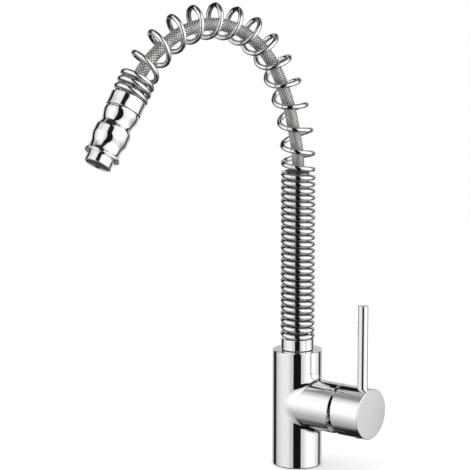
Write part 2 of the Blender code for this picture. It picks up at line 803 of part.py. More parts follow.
def spring():
    points = spring_points()
    gap = least_gap(points, WIRE_RADIUS, COIL_POINTS // 2)
    print("spring: least gap to itself {:.5f} m".format(gap))
    tube("spring", points, WIRE_RADIUS, 1, CHROME, SPOUT_FRAME)


def hose_route():
    """Points up the body and riser, over the arch, and down into the handset."""
    start = -SHANK_DROP
    end = DOCK_END + CRIMP_TOP + CRIMP_LENGTH
    bends_end = DOCK_END - DOCK_RUN
    straight = math.ceil((ARCH_FOOT - start) / (6 * HOSE_RADIUS))
    bent = math.ceil((bends_end - ARCH_FOOT) / (1.4 * HOSE_RADIUS))
    stops = [start + (ARCH_FOOT - start) * i / straight for i in range(straight)]
    stops += [ARCH_FOOT + (bends_end - ARCH_FOOT) * i / bent for i in range(bent + 1)]
    stops += [DOCK_END, end]
    return [neck(stop)[0] for stop in stops]


def spray_hose():
    tube("spray_hose", hose_route(), HOSE_RADIUS, 2, BRAID, SPOUT_FRAME)


# Dock and handset


def docking_collar():
    """Neck that fills the last coils, shoulder under the spring, and the dock's cup."""
    hole = HOSE_RADIUS + HOSE_ROOM
    cup = DOCK_RADIUS + DOCK_SLEEVE + 2 * GAP
    outline = [(RISER_RADIUS, -COLLAR_NECK), (RISER_RADIUS, 0),
               (COLLAR_TOP_RADIUS - COLLAR_RIM, 0), (COLLAR_TOP_RADIUS, COLLAR_RIM)]
    top = (COLLAR_TOP_RADIUS, COLLAR_RIM)
    waist = (COLLAR_WAIST, COLLAR_LENGTH / 2)
    outline += eased(top, waist, COLLAR_STEPS)
    outline += eased(waist, (COLLAR_SEAM_RADIUS, COLLAR_LENGTH), COLLAR_STEPS)
    outline += [(cup, COLLAR_LENGTH), (cup, COLLAR_CEILING), (hole, COLLAR_CEILING),
                (hole, -COLLAR_NECK)]
    turned("docking_collar", below(outline), CHROME, DOCK_FRAME)


def collar_bush():
    low = DOCK_RADIUS + GAP
    outline = ring(low + DOCK_SLEEVE, low, -(COLLAR_LENGTH - GAP), -(COLLAR_CEILING + GAP))
    turned("collar_bush", outline, WHITE_PLASTIC, DOCK_FRAME, sides=INNER_SIDES)


def crimp_end():
    return CRIMP_TOP + CRIMP_LENGTH


def stem_flange_end():
    return crimp_end() + GAP + STEM_FLANGE_THICKNESS


def valve_top():
    return stem_flange_end() + GAP + INLET_THICKNESS + GAP


def hose_end():
    """Crimped sleeve and flanged stem that pull out with the hose."""
    bore = HOSE_RADIUS + GAP
    outline = ring(bore + CRIMP_WALL, bore, -crimp_end(), -CRIMP_TOP)
    turned("hose_sleeve", outline, STEEL, HANDSET_FRAME, sides=INNER_SIDES)
    top = crimp_end() + GAP
    step = stem_flange_end()
    end = step + STEM_LENGTH
    stem = [(STEM_FLANGE, top), (STEM_FLANGE, step), (STEM_TUBE, step), (STEM_TUBE, end),
            (STEM_BORE, end), (STEM_BORE, top)]
    turned("hose_stem", below(stem), BRASS, HANDSET_FRAME, sides=INNER_SIDES)


def hose_nut():
    """Its lip holds the stem's flange, and its outside screws into the handset."""
    inner = STEM_FLANGE + GAP
    outer = inner + HOSE_NUT_WALL
    lip = HOSE_RADIUS + 2 * GAP + CRIMP_WALL
    lip_end = crimp_end()
    outline = [(outer, lip_end - NUT_LIP), (outer, HOSE_NUT_END), (inner, HOSE_NUT_END),
               (inner, lip_end), (lip, lip_end), (lip, lip_end - NUT_LIP)]
    turned("hose_nut", below(outline), BRASS, HANDSET_FRAME, sides=INNER_SIDES)


def inlet_parts():
    top = stem_flange_end() + GAP
    washer = ring(STEM_FLANGE, STEM_TUBE + GAP, -(top + INLET_THICKNESS), -top)
    turned("inlet_washer", washer, RUBBER, HANDSET_FRAME, sides=INNER_SIDES)
    head = STEM_FLANGE
    step = SHELL_BORE_1_END + GAP
    pocket_end = stem_flange_end() + STEM_LENGTH + GAP
    valve = [(head, valve_top()), (head, step), (VALVE_RADIUS, step),
             (VALVE_RADIUS, VALVE_END), (VALVE_BORE, VALVE_END), (VALVE_BORE, pocket_end),
             (STEM_TUBE + GAP, pocket_end), (STEM_TUBE + GAP, valve_top())]
    turned("check_valve", below(valve), WHITE_PLASTIC, HANDSET_FRAME, sides=INNER_SIDES)


def handset_shell():
    """Docking spigot, then bulb, waist, bulb, neck and flange."""
    shoulder = COLLAR_LENGTH + GAP
    nut_bore = STEM_FLANGE + HOSE_NUT_WALL + 2 * GAP
    valve_bore = VALVE_RADIUS + GAP
    thread_bore = AERATOR_THREAD + GAP
    flange_end = FLANGE_AT + FLANGE_THICKNESS
    outline = [(DOCK_RADIUS, DOCK_TOP), (DOCK_RADIUS, shoulder), (SHELL_SHOULDER, shoulder)]
    outline += [(BULB_1, BULB_1_AT)]
    outline += eased((BULB_1, BULB_1_AT), (WAIST, WAIST_AT), EASE_STEPS)
    outline += eased((WAIST, WAIST_AT), (BULB_2, BULB_2_AT), EASE_STEPS)
    outline += [(BULB_2, BULB_2_AT + BULB_2_RUN)]
    outline += eased((BULB_2, BULB_2_AT + BULB_2_RUN), (NECK, NECK_AT), EASE_STEPS)
    for i in range(1, EASE_STEPS + 1):
        angle = QUARTER * i / EASE_STEPS
        outline.append((NECK + (FLANGE - NECK) * (1 - math.cos(angle)),
                        NECK_AT + (FLANGE_AT - NECK_AT) * math.sin(angle)))
    outline += [(FLANGE, flange_end - FLANGE_RIM), (FLANGE - FLANGE_RIM, flange_end),
                (thread_bore, flange_end), (thread_bore, AERATOR_SEAT),
                (OUTLET_WAY, AERATOR_SEAT), (OUTLET_WAY, VALVE_END + GAP),
                (valve_bore, VALVE_END + GAP), (valve_bore, SHELL_BORE_1_END),
                (nut_bore, SHELL_BORE_1_END), (nut_bore, DOCK_TOP)]
    turned("handset_shell", below(outline), CHROME, HANDSET_FRAME)


def aerator():
    seal_top = AERATOR_SEAT + GAP
    seal_end = seal_top + AERATOR_SEAL_THICKNESS
    seal = ring(AERATOR_THREAD, AERATOR_THREAD - AERATOR_SEAL_WIDTH, -seal_end, -seal_top)
    turned("aerator_seal", seal, RUBBER, HANDSET_FRAME, sides=INNER_SIDES)
    top = seal_end + GAP
    step = FLANGE_AT + FLANGE_THICKNESS + GAP
    housing = [(AERATOR_THREAD, top), (AERATOR_THREAD, step), (AERATOR_RADIUS, step),
               (AERATOR_RADIUS, AERATOR_END - AERATOR_RIM),
               (AERATOR_RADIUS - AERATOR_RIM, AERATOR_END), (AERATOR_BORE, AERATOR_END),
               (AERATOR_BORE, top)]
    turned("aerator_housing", below(housing), CHROME, HANDSET_FRAME)
    fit = AERATOR_BORE - GAP
    mesh_end = AERATOR_END - MESH_INSET
    mesh_top = mesh_end - MESH_THICKNESS
    insert_end = mesh_top - GAP
    insert = [(0, insert_end - INSERT_FLOOR), (INSERT_BORE, insert_end - INSERT_FLOOR),
              (INSERT_BORE, INSERT_TOP), (fit, INSERT_TOP), (fit, insert_end), (0, insert_end)]
    turned("aerator_insert", below(insert), GREY_PLASTIC, HANDSET_FRAME, sides=INNER_SIDES)
    mesh = turned("aerator_mesh", solid(fit, -mesh_end, -mesh_top), GREY_PLASTIC,
                  HANDSET_FRAME, sides=INNER_SIDES)
    depth = MESH_THICKNESS + 2 * OVERRUN
    cells = mesh_from("cut_mesh_cells", lambda bm: honeycomb(bm, depth))
    middle = -(mesh_top + mesh_end) / 2
    combine(mesh, hidden("cut_mesh_cells", cells, HANDSET_FRAME, at=(0, 0, middle)))


def honeycomb(bm, depth):
    """Six-sided cells in rings round the middle one."""
    steps = range(-MESH_RINGS, MESH_RINGS + 1)
    for row in steps:
        for column in steps:
            if abs(row + column) > MESH_RINGS:
                continue
            x = MESH_PITCH * (column + row / 2)
            y = MESH_PITCH * row * math.sin(math.pi / 3)
            cell = bmesh.ops.create_cone(bm, cap_ends=True, segments=HEX_SIDES,
                                         radius1=MESH_CELL, radius2=MESH_CELL, depth=depth)
            bmesh.ops.translate(bm, verts=cell["verts"], vec=(x, y, 0))


# Cartridge, along the branch


def port_cutter(name, side, lift, radius, low, high):
    """Round hole along the branch, side is towards +Y and lift towards +Z."""
    return turned_cutter(name, solid(radius, low, high), LEVER_FRAME, at=(-lift, side, 0),
                         sides=FINE_SIDES)


def three_ports(item, label, supply, outlet, radius, low, high):
    """Hot, cold and mixed holes; supply is (side, lift) and outlet the mixed one's drop."""
    side, lift = supply
    for name, across, up in (("hot", side, lift), ("cold", -side, lift), ("mixed", 0, -outlet)):
        combine(item, port_cutter(label + "_" + name, across, up, radius, low, high))


def cartridge_foot():
    """Moulded seal, ported base and the fixed ceramic disc."""
    far = (TAIL_OFFSET, SUPPLY_LIFT)
    near = (DISC_PORT_SIDE, SUPPLY_LIFT)
    seal_end = SEAL_FOOT + CARTRIDGE_SEAL_THICKNESS
    seal = turned("cartridge_seal", solid(CARTRIDGE_RADIUS - CARTRIDGE_SEAL_EDGE, SEAL_FOOT,
                                          seal_end), RUBBER, LEVER_FRAME, sides=INNER_SIDES)
    three_ports(seal, "cut_seal", far, OUTLET_DROP, CHANNEL_RADIUS, SEAL_FOOT - OVERRUN,
                seal_end + OVERRUN)
    boss = HOUSING_BORE - GAP
    base_end = BASE_STEP + BASE_BOSS
    outline = [(0, base_end), (boss, base_end), (boss, BASE_STEP), (CARTRIDGE_RADIUS, BASE_STEP),
               (CARTRIDGE_RADIUS, BASE_FOOT), (0, BASE_FOOT)]
    base = turned("cartridge_base", outline, WHITE_PLASTIC, LEVER_FRAME, sides=INNER_SIDES)
    three_ports(base, "cut_base_low", far, OUTLET_DROP, CHANNEL_RADIUS, BASE_FOOT - OVERRUN,
                BASE_STEP)
    three_ports(base, "cut_base_high", near, DISC_OUTLET_DROP, DISC_PORT, BASE_STEP - GAP,
                base_end + OVERRUN)
    disc_end = DISC_FOOT + DISC_THICKNESS
    disc = turned("fixed_disc", solid(DISC_RADIUS, DISC_FOOT, disc_end), CERAMIC, LEVER_FRAME,
                  sides=INNER_SIDES)
    three_ports(disc, "cut_disc", near, DISC_OUTLET_DROP, DISC_PORT, DISC_FOOT - OVERRUN,
                disc_end + OVERRUN)


def moving_disc():
    """Upper ceramic disc, whose pocket joins the ports as it slides up."""
    end = SLIDER_FOOT + DISC_THICKNESS
    disc = turned("moving_disc", solid(SLIDER_RADIUS, SLIDER_FOOT, end), CERAMIC, LEVER_FRAME,
                  sides=INNER_SIDES)
    depth = POCKET_DEPTH + OVERRUN
    size = (POCKET_LOW + POCKET_TOP, 2 * POCKET_HALF, depth)
    place = ((POCKET_LOW - POCKET_TOP) / 2, 0, SLIDER_FOOT + POCKET_DEPTH - depth / 2)
    combine(disc, hidden("cut_pocket", box_mesh("cut_pocket", size), LEVER_FRAME, at=place))


def disc_carrier():
    """Blind socket that the spindle's ball moves."""
    socket = BALL_RADIUS + GAP
    floor = CARRIER_FOOT + SOCKET_FLOOR
    outline = [(SLIDER_RADIUS, CARRIER_END), (SLIDER_RADIUS, CARRIER_FOOT), (0, CARRIER_FOOT)]
    outline = [(0, floor), (socket, floor), (socket, CARRIER_END)] + outline
    turned("disc_carrier", outline, WHITE_PLASTIC, LEVER_FRAME, sides=INNER_SIDES)


def cartridge_housing():
    foot = BASE_STEP + GAP
    end = HOUSING_SHOULDER + HOUSING_NECK
    outline = [(HOUSING_NECK_RADIUS, end), (HOUSING_NECK_RADIUS, HOUSING_SHOULDER),
               (CARTRIDGE_RADIUS, HOUSING_SHOULDER), (CARTRIDGE_RADIUS, foot),
               (HOUSING_BORE, foot), (HOUSING_BORE, HOUSING_FACE),
               (HOUSING_NECK_BORE, HOUSING_FACE), (HOUSING_NECK_BORE, end)]
    turned("cartridge_housing", outline, WHITE_PLASTIC, LEVER_FRAME, sides=INNER_SIDES)


def cartridge_nut():
    bore = HOUSING_NECK_RADIUS + NUT_BORE_ROOM
    turned("cartridge_nut", ring(NUT_RADIUS, bore, NUT_FOOT, NUT_FACE), BRASS, LEVER_FRAME)


def cartridge_dome():
    """Part of a sphere about the lever's pivot, so that the cap swings clear of it."""
    foot = NUT_FACE + GAP - PIVOT
    inner = DOME_RADIUS - DOME_WALL
    outer_arc = arc((0, PIVOT), DOME_RADIUS, math.acos(DOME_OPENING / DOME_RADIUS),
                    math.asin(foot / DOME_RADIUS), DOME_STEPS)
    inner_arc = arc((0, PIVOT), inner, math.asin(foot / inner),
                    math.acos(DOME_OPENING / inner), DOME_STEPS)
    turned("cartridge_dome", outer_arc + inner_arc, CHROME, LEVER_FRAME)


def cartridge_rotor():
    """Turns for temperature, slotted so that the spindle can tilt in it."""
    end = ROTOR_STEP + ROTOR_NECK_LENGTH
    flange = HOUSING_BORE - ROTOR_SIDE_ROOM
    outline = [(0, end), (ROTOR_NECK_RADIUS, end), (ROTOR_NECK_RADIUS, ROTOR_STEP),
               (flange, ROTOR_STEP), (flange, ROTOR_FOOT), (0, ROTOR_FOOT)]
    rotor = turned("cartridge_rotor", outline, BLACK_PLASTIC, LEVER_FRAME, sides=INNER_SIDES)
    up = (PIVOT - ROTOR_FOOT) * math.tan(TILT) + FINGER_RADIUS / math.cos(TILT) + GAP
    down = FINGER_RADIUS + GAP
    size = (up + down, 2 * down, ROTOR_FLANGE + OVERRUN + GAP)
    place = ((down - up) / 2, 0, ROTOR_FOOT - OVERRUN + size[2] / 2)
    combine(rotor, hidden("cut_finger_slot", box_mesh("cut_finger_slot", size), LEVER_FRAME,
                          at=place))
    swing = max(BOSS_BACK, end - PIVOT) * math.sin(TILT) + BOSS_RADIUS + GAP
    length = ROTOR_NECK_LENGTH + OVERRUN
    size = (2 * swing, 2 * (BOSS_RADIUS + GAP), length)
    place = (0, 0, ROTOR_STEP + length / 2)
    combine(rotor, hidden("cut_boss_slot", box_mesh("cut_boss_slot", size), LEVER_FRAME,
                          at=place))
    combine(rotor, pin_hole("cut_rotor_pin", LEVER_FRAME, PIVOT))


def pin_hole(name, frame, along):
    length = 2 * (ROTOR_NECK_RADIUS + OVERRUN)
    return hidden(name, rod_mesh(name, PIN_RADIUS + PIN_ROOM, length), frame,
                  at=(0, 0, along), turn=(QUARTER, 0, 0))


def pivot_pin():
    length = 2 * (ROTOR_NECK_RADIUS - PIN_INSET)
    part("pivot_pin", rod_mesh("pivot_pin", PIN_RADIUS, length), STEEL, LEVER_FRAME,
         at=(0, 0, PIVOT), turn=(QUARTER, 0, 0))


# Lever, placed from the pivot


def from_pivot(points):
    return [(radius, along - PIVOT) for radius, along in points]


def spindle():
    """Ball, finger and boss in one turned piece, joined to the square."""
    tip = BALL_AT - BALL_FLAT
    low_angle = -math.asin(BALL_FLAT / BALL_RADIUS)
    high_angle = math.acos(FINGER_RADIUS / BALL_RADIUS)
    boss_back = PIVOT - BOSS_BACK
    boss_end = PIVOT + BOSS_AHEAD
    outline = [(0, boss_end), (BOSS_RADIUS, boss_end), (BOSS_RADIUS, boss_back),
               (FINGER_RADIUS, boss_back)]
    outline += arc((0, BALL_AT), BALL_RADIUS, high_angle, low_angle, 4)
    outline += [(0, tip)]
    stem = turned("spindle", from_pivot(outline), STEEL, TILT_FRAME, sides=FINE_SIDES)
    start = BOSS_AHEAD - SQUARE_BACK
    end = SOCKET_END - GAP - PIVOT
    size = (SQUARE, SQUARE, end - start)
    bar = hidden("join_square", box_mesh("join_square", size), TILT_FRAME,
                 at=(0, 0, (start + end) / 2))
    combine(stem, bar, "UNION")
    combine(stem, pin_hole("cut_spindle_pin", TILT_FRAME, 0))


def lever_cap():
    """Cup over the dome with a square socket, a hole for the rod and one for the screw."""
    inner = BODY_RADIUS - CAP_WALL
    lean = BODY_RADIUS * math.tan(CAP_SLANT)
    back = CAP_FOOT - lean - GAP
    outline = [(0, CAP_END), (BODY_RADIUS - CAP_RIM, CAP_END), (BODY_RADIUS, CAP_END - CAP_RIM),
               (BODY_RADIUS, back), (inner, back), (inner, CAP_CEILING), (0, CAP_CEILING)]
    cap = turned("lever_cap", from_pivot(outline), CHROME, TILT_FRAME)
    wide = 2 * (BODY_RADIUS + OVERRUN)
    deep = 2 * lean + 2 * OVERRUN
    foot = CAP_FOOT - PIVOT
    place = (deep / 2 * math.sin(CAP_SLANT), 0, foot - deep / 2 * math.cos(CAP_SLANT))
    slant = hidden("cut_cap_rim", box_mesh("cut_cap_rim", (wide, wide, deep)), TILT_FRAME,
                   at=place, turn=(0, -CAP_SLANT, 0))
    combine(cap, slant)
    length = SOCKET_END - CAP_CEILING + OVERRUN
    size = (SQUARE + 2 * GAP, SQUARE + 2 * GAP, length)
    socket = hidden("cut_socket", box_mesh("cut_socket", size), TILT_FRAME,
                    at=(0, 0, SOCKET_END - PIVOT - length / 2))
    combine(cap, socket)
    rod_hole = solid(ROD_RADIUS + GAP, ROD_SEAT, BODY_RADIUS + OVERRUN)
    combine(cap, turned_cutter("cut_rod_hole", rod_hole, TILT_FRAME, at=(0, 0, rod_along()),
                               turn=(0, -QUARTER, 0), sides=INNER_SIDES))
    plug_floor = BODY_RADIUS - PLUG_SEAT
    screw_hole = [(0, BODY_RADIUS + OVERRUN), (PLUG_RADIUS + GAP, BODY_RADIUS + OVERRUN),
                  (PLUG_RADIUS + GAP, plug_floor), (GRUB_RADIUS + GAP, plug_floor),
                  (GRUB_RADIUS + GAP, SQUARE / 2), (0, SQUARE / 2)]
    combine(cap, turned_cutter("cut_grub_hole", screw_hole, TILT_FRAME,
                               at=(0, 0, grub_along()), turn=(0, QUARTER, 0),
                               sides=FINE_SIDES))


def rod_along():
    return CAP_END - ROD_INSET - PIVOT


def grub_along():
    return CAP_END - GRUB_INSET - PIVOT


def lever_rod():
    foot = ROD_SEAT + GAP
    outline = [(0, ROD_RISE), (ROD_RADIUS - ROD_RIM, ROD_RISE), (ROD_RADIUS, ROD_RISE - ROD_RIM),
               (ROD_RADIUS, foot), (0, foot)]
    turned("lever_rod", outline, CHROME, TILT_FRAME, at=(0, 0, rod_along()),
           turn=(0, -QUARTER, 0), sides=INNER_SIDES)


def lever_screw():
    """Grub screw on the square's lower side and the plug that covers it."""
    start = SQUARE / 2 + GAP
    place = (0, 0, grub_along())
    turned("grub_screw", solid(GRUB_RADIUS, start, start + GRUB_LENGTH), STEEL, TILT_FRAME,
           at=place, turn=(0, QUARTER, 0), sides=FINE_SIDES)
    low = BODY_RADIUS - PLUG_SEAT + GAP
    turned("index_plug", solid(PLUG_RADIUS, low, BODY_RADIUS + PLUG_PROUD), GREY_PLASTIC,
           TILT_FRAME, at=place, turn=(0, QUARTER, 0), sides=FINE_SIDES)


clear_scene()
TAP = collection("pull_out_mixer_tap")
CUTTERS = collection("cutters")
LEVER_FRAME = empty("lever_axis", at=(0, 0, BRANCH_HEIGHT), turn=(0, QUARTER, 0))
TILT_FRAME = empty("tilt_axis", LEVER_FRAME, at=(0, 0, PIVOT))
SPOUT_FRAME = empty("spout_axis", turn=(0, 0, -REST_SWIVEL_ANGLE))
DOCK_FRAME = empty("dock_axis", SPOUT_FRAME, at=neck(DOCK_END)[0],
                   turn=(DOCK_LEAN - math.pi, 0, 0))
HANDSET_FRAME = empty("handset_axis", DOCK_FRAME)
body_casting()
base_seal()
threaded_shank()
clamp()
hose_grommet()
swivel_glide_ring()
spout_ferrule()
spigot_clip()
spigot_o_ring()
riser()
spring()
spray_hose()
docking_collar()
collar_bush()
hose_end()
hose_nut()
inlet_parts()
handset_shell()
aerator()
cartridge_foot()
moving_disc()
disc_carrier()
cartridge_housing()
cartridge_nut()
cartridge_dome()
cartridge_rotor()
pivot_pin()
spindle()
lever_cap()
lever_rod()
lever_screw()
bpy.context.view_layer.update()
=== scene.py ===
"""Finer shapes, finishes, light, floor and camera for the pull-out mixer tap."""

import math

import bmesh
import bpy
from mathutils import Matrix, Vector


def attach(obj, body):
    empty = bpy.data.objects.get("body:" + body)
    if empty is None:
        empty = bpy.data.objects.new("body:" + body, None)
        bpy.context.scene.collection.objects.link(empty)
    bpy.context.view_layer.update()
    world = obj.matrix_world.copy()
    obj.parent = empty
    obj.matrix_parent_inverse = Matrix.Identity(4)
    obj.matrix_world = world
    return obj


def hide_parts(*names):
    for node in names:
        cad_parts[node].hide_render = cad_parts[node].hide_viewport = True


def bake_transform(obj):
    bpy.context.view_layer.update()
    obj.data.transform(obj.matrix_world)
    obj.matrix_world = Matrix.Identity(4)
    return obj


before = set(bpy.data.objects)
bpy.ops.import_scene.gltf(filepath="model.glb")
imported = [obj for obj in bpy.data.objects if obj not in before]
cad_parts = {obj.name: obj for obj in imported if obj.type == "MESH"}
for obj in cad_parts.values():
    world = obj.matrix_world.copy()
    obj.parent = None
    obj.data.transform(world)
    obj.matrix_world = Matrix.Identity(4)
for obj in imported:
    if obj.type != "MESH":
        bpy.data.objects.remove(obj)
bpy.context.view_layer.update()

QUARTER = math.pi / 2
GAP = 0.0003
FINE_RIM = 0.0003
FINE_SIDES = 96
MERGE = 0.000001
SMOOTH_ANGLE = math.radians(32)

# Body, as in the CAD
BODY_RADIUS = 0.025
BODY_TOP = 0.117
FOOT_LIFT = 0.0004
FOOT_RIM = 0.001
TOP_RIM = 0.0008
RIM_STEPS = 5
BRANCH_HEIGHT = 0.0641
BLEND = 0.005
WEB_STEPS = 20
HALF_SIDES = 96
RUN_SHARES = (0.004, 0.02, 0.08, 0.25, 0.5, 0.75, 0.92, 0.98, 0.996, 1)
MOUTH_RELIEF = math.radians(10.4)
BRANCH_REACH = 0.0538
MOUTH_RIM = 0.0006
MOUTH_RADIUS = 0.0203
CHAMBER_RADIUS = 0.0178
CHAMBER_FLOOR = 0.016
HOUSING_SHOULDER = 0.0435
PASSAGE_RADIUS = 0.0065
RECESS_TOP = 0.012

# Foot seal, shank and clamp, under the worktop that the CAD is stored with
SEAL_INNER = 0.0193
SEAL_OUTER = 0.0227
SEAL_THICKNESS = 0.002
SEAL_RIM = 0.0004
SHANK_RADIUS = 0.017
SHANK_BORE = 0.0152
SHANK_DROP = 0.055
SHANK_CHAMFER = 0.001
CHAMFER_LEAN = 0.9
THREAD_SIDES = 72
THREAD_STEPS = 8
THREAD_PITCH = 0.0015
THREAD_DEPTH = 0.0008
THREAD_FLANK = 1.25
THREAD_TOP = -0.002
THREAD_START = -0.003
THREAD_FADE = 0.002
LAST_ROW = 0.0002
WORKTOP = 0.03
CLAMP_RADIUS = 0.027
RUBBER_THICKNESS = 0.003
RUBBER_RIM = 0.0005
WASHER_THICKNESS = 0.0015
NUT_APOTHEM = 0.024
NUT_HEIGHT = 0.006
NUT_CHAMFER_SLOPE = 0.5
NUT_SMOOTH_ANGLE = math.radians(15)

# Ferrule and spigot, with the grooves for ring and clip, and the riser
FERRULE_FOOT = 0.1176
FERRULE_TOP = 0.1283
FERRULE_RADIUS = 0.0167
FERRULE_RIM = 0.0007
FERRULE_BORE = 0.0075
SPIGOT_RADIUS = 0.0119
SPIGOT_LENGTH = 0.0251
SPIGOT_FLOOR = 0.002
RING_DROP = 0.012
RING_SECTION = 0.00085
RING_ROOT = 0.00975
CLIP_LOW = 0.0967
CLIP_HIGH = 0.0983
CLIP_ROOT = 0.0103
CLIP_EDGE = 0.0132
GLIDE_OUTER = 0.0145
GLIDE_THICKNESS = 0.002
RISER_RADIUS = 0.01105
RISER_WALL = 0.0018
RISER_SEAT = 0.0015
RISER_DROP = 0.007
BUSH_BRIM = 0.0025
BUSH_LIP = 0.001
BUSH_SKIRT = 0.012

# Neck's centre line, by length from the worktop
ARCH_FOOT = 0.3011
FIRST_BEND = 0.1757
FIRST_ANGLE = math.radians(33.8)
SECOND_BEND = 0.1039
SECOND_ANGLE = math.radians(113.2)
DOCK_RUN = 0.0219
DOCK_LEAN = FIRST_ANGLE + SECOND_ANGLE
DOCK_END = ARCH_FOOT + FIRST_BEND * FIRST_ANGLE + SECOND_BEND * SECOND_ANGLE + DOCK_RUN
SWIVEL = math.radians(-8.4)

# Spring
COIL_RADIUS = 0.0148
COIL_STEPS = 44
WIRE_RADIUS = 0.0025
WIRE_SIDES = 16
END_FLAT_SHARE = 0.28
COIL_GAP = 0.0006
CLOSE_TURNS = 23.39
CLOSE_PITCH = 0.0066
WIDENING_TURNS = 2.52
OPEN_TURNS = 11.49
EASING = 1.08
CLOSING_SHARE = 0.305
TOP_TURNS = 1.81
TOP_PITCH = 0.00683
COIL_START = math.radians(57.5)

# Hose: its skin, its weave, its sag over the arch, and the length drawn out at the dock
HOSE_RADIUS = 0.006
HOSE_SIDES = 70
HOSE_STEP = 0.0006
PLAIN_STOPS = (0.1, 0.28)
STRANDS = 12
CELL = 0.0033
STRAND_ROUNDNESS = 0.6
STRAND_LIFT = 0.4
WEAVE_DEPTH = 0.00035
HOSE_SAG = 0.003
SAG_LEAD = 0.004
SAG_EASE = 0.05
SAG_END = 0.022
PULL_RANGE = 0.3
DRAWN_DROP = 0.017
DRAWN_STEPS = 400
DRAWN_LEAD = 0.001
DRAWN_END = 0.002
OVERLAP = 0.0005
CRIMP_END = 0.0086

# Collar and handset, by distance below the collar's top
COLLAR_NECK = 0.018
COLLAR_TOP = 0.01685
COLLAR_RIM = 0.0008
COLLAR_WAIST = 0.0167
COLLAR_WAIST_AT = 0.00645
COLLAR_SEAM = 0.0168
COLLAR_LENGTH = 0.0129
COLLAR_CEILING = 0.002
DOCK_RADIUS = 0.0142
SEAM_RIM = 0.0005
SLEEVE_RADIUS = 0.0126
SLEEVE_TOP = 0.0033
SHELL_TOP = 0.0132
SHELL_SHOULDER = 0.0162
BULB_1 = 0.0165
BULB_1_AT = 0.016
WAIST = 0.01445
WAIST_AT = 0.0268
BULB_2 = 0.0168
BULB_2_AT = 0.0345
BULB_2_STOPS = (0.036, 0.0385, 0.04)
NECK = 0.0147
NECK_AT = 0.0497
FLANGE = 0.0168
FLANGE_AT = 0.0573
FLANGE_EDGE = ((0.0168, 0.0584), (0.01677, 0.05865), (0.0166, 0.0588))
COVE_STEPS = 24
# Handset's bore from the mouth up: aerator's thread, outlet, valve and hose nut
HANDSET_BORE = ((0.0121, 0.0588), (0.0121, 0.0478), (0.007, 0.0478), (0.007, 0.0363),
                (0.009, 0.0363), (0.009, 0.022), (0.0107, 0.022), (0.0107, 0.0033))
AERATOR_RING = ((0.0118, 0.0499), (0.0118, 0.0591), (0.01265, 0.0591),
                (0.01265, 0.0678, 0.0006), (0.0106, 0.0678, 0.0003), (0.0106, 0.0499))
SCREEN_TOP = 0.0662
SCREEN_FOOT = 0.067
SCREEN_RADIUS = 0.0103
SCREEN_EDGE = 0.0087
SCREEN_RIM = 0.0002
SCREEN_REACH = 0.0093
SCREEN_PITCH = 0.0019
SCREEN_HOLE = 0.00082

# Lever
PIVOT = 0.0472
NUT_FACE = 0.05
DOME_RADIUS = 0.0195
DOME_WALL = 0.0015
DOME_OPENING = 0.01
DOME_ROOM = 0.0013
DOME_STEPS = 32
CAP_FOOT = 0.0572
CAP_END = 0.0893
CAP_WALL = 0.0027
CAP_SIDES = 160
CAP_RIM = 0.0009
CAP_FOOT_RIM = 0.0008
CAP_SLANT = math.radians(2.3)
SLANT_RUN = 0.003
CROWN = 0.00025
CROWN_SHARES = (0, 0.2, 0.4, 0.6, 0.75, 0.88, 0.95)
CROWN_ROOM = 0.0001
DISC_FACING = 0.9
SKIN_FACING = 0.02
SQUARE_FACING = 0.99
HOLE_END = 0.03
ROD_RADIUS = 0.00525
ROD_INSET = 0.0109
ROD_AT = CAP_END - ROD_INSET - PIVOT
ROD_SEAT = 0.008
ROD_RISE = 0.1063
ROD_RIM = 0.0008
PLUG_RADIUS = 0.0031
PLUG_INSET = 0.0146
PLUG_AT = CAP_END - PLUG_INSET - PIVOT
PLUG_SEAT = 0.023
PLUG_END = 0.0265
PLUG_RIM = 0.0007
PLUG_SIDES = 64


def neck(along):
    """Point on the neck's centre line and its lean, by the length from the worktop."""
    point = Vector((0, 0, min(along, ARCH_FOOT)))
    left = max(along - ARCH_FOOT, 0)
    lean = 0
    for radius, angle in ((FIRST_BEND, FIRST_ANGLE), (SECOND_BEND, SECOND_ANGLE)):
        bent = min(left / radius, angle)
        middle = point - radius * Vector((0, math.cos(lean), math.sin(lean)))
        lean += bent
        point = middle + radius * Vector((0, math.cos(lean), math.sin(lean)))
        left -= bent * radius
    return point + left * Vector((0, -math.sin(lean), math.cos(lean))), lean


WORLD = Matrix.Identity(4)
LEVER = Matrix.Translation((0, 0, BRANCH_HEIGHT)) @ Matrix.Rotation(QUARTER, 4, "Y")
TILT = LEVER @ Matrix.Translation((0, 0, PIVOT))
SPOUT = Matrix.Rotation(SWIVEL, 4, "Z")
DOCK = (SPOUT @ Matrix.Translation(neck(DOCK_END)[0])
        @ Matrix.Rotation(DOCK_LEAN - math.pi, 4, "X"))


# Procedural finishes


def added(tree, kind):
    """New shader node of a kind."""
    return tree.nodes.new("ShaderNode" + kind)


def material(name):
    """New material with its node tree and shader."""
    made = bpy.data.materials.new(name)
    made.use_nodes = True
    tree = made.node_tree
    return made, tree, tree.nodes["Principled BSDF"]


def noise(tree, scale, detail=2.0, stretch=None):
    """Noise on the piece's own coordinates, stretched where a finish has a grain."""
    where = added(tree, "TexCoord")
    out = where.outputs["Object"]
    if stretch:
        mapping = added(tree, "Mapping")
        mapping.inputs["Scale"].default_value = stretch
        tree.links.new(out, mapping.inputs["Vector"])
        out = mapping.outputs["Vector"]
    texture = added(tree, "TexNoise")
    texture.inputs["Scale"].default_value = scale
    texture.inputs["Detail"].default_value = detail
    tree.links.new(out, texture.inputs["Vector"])
    return texture.outputs["Fac"]


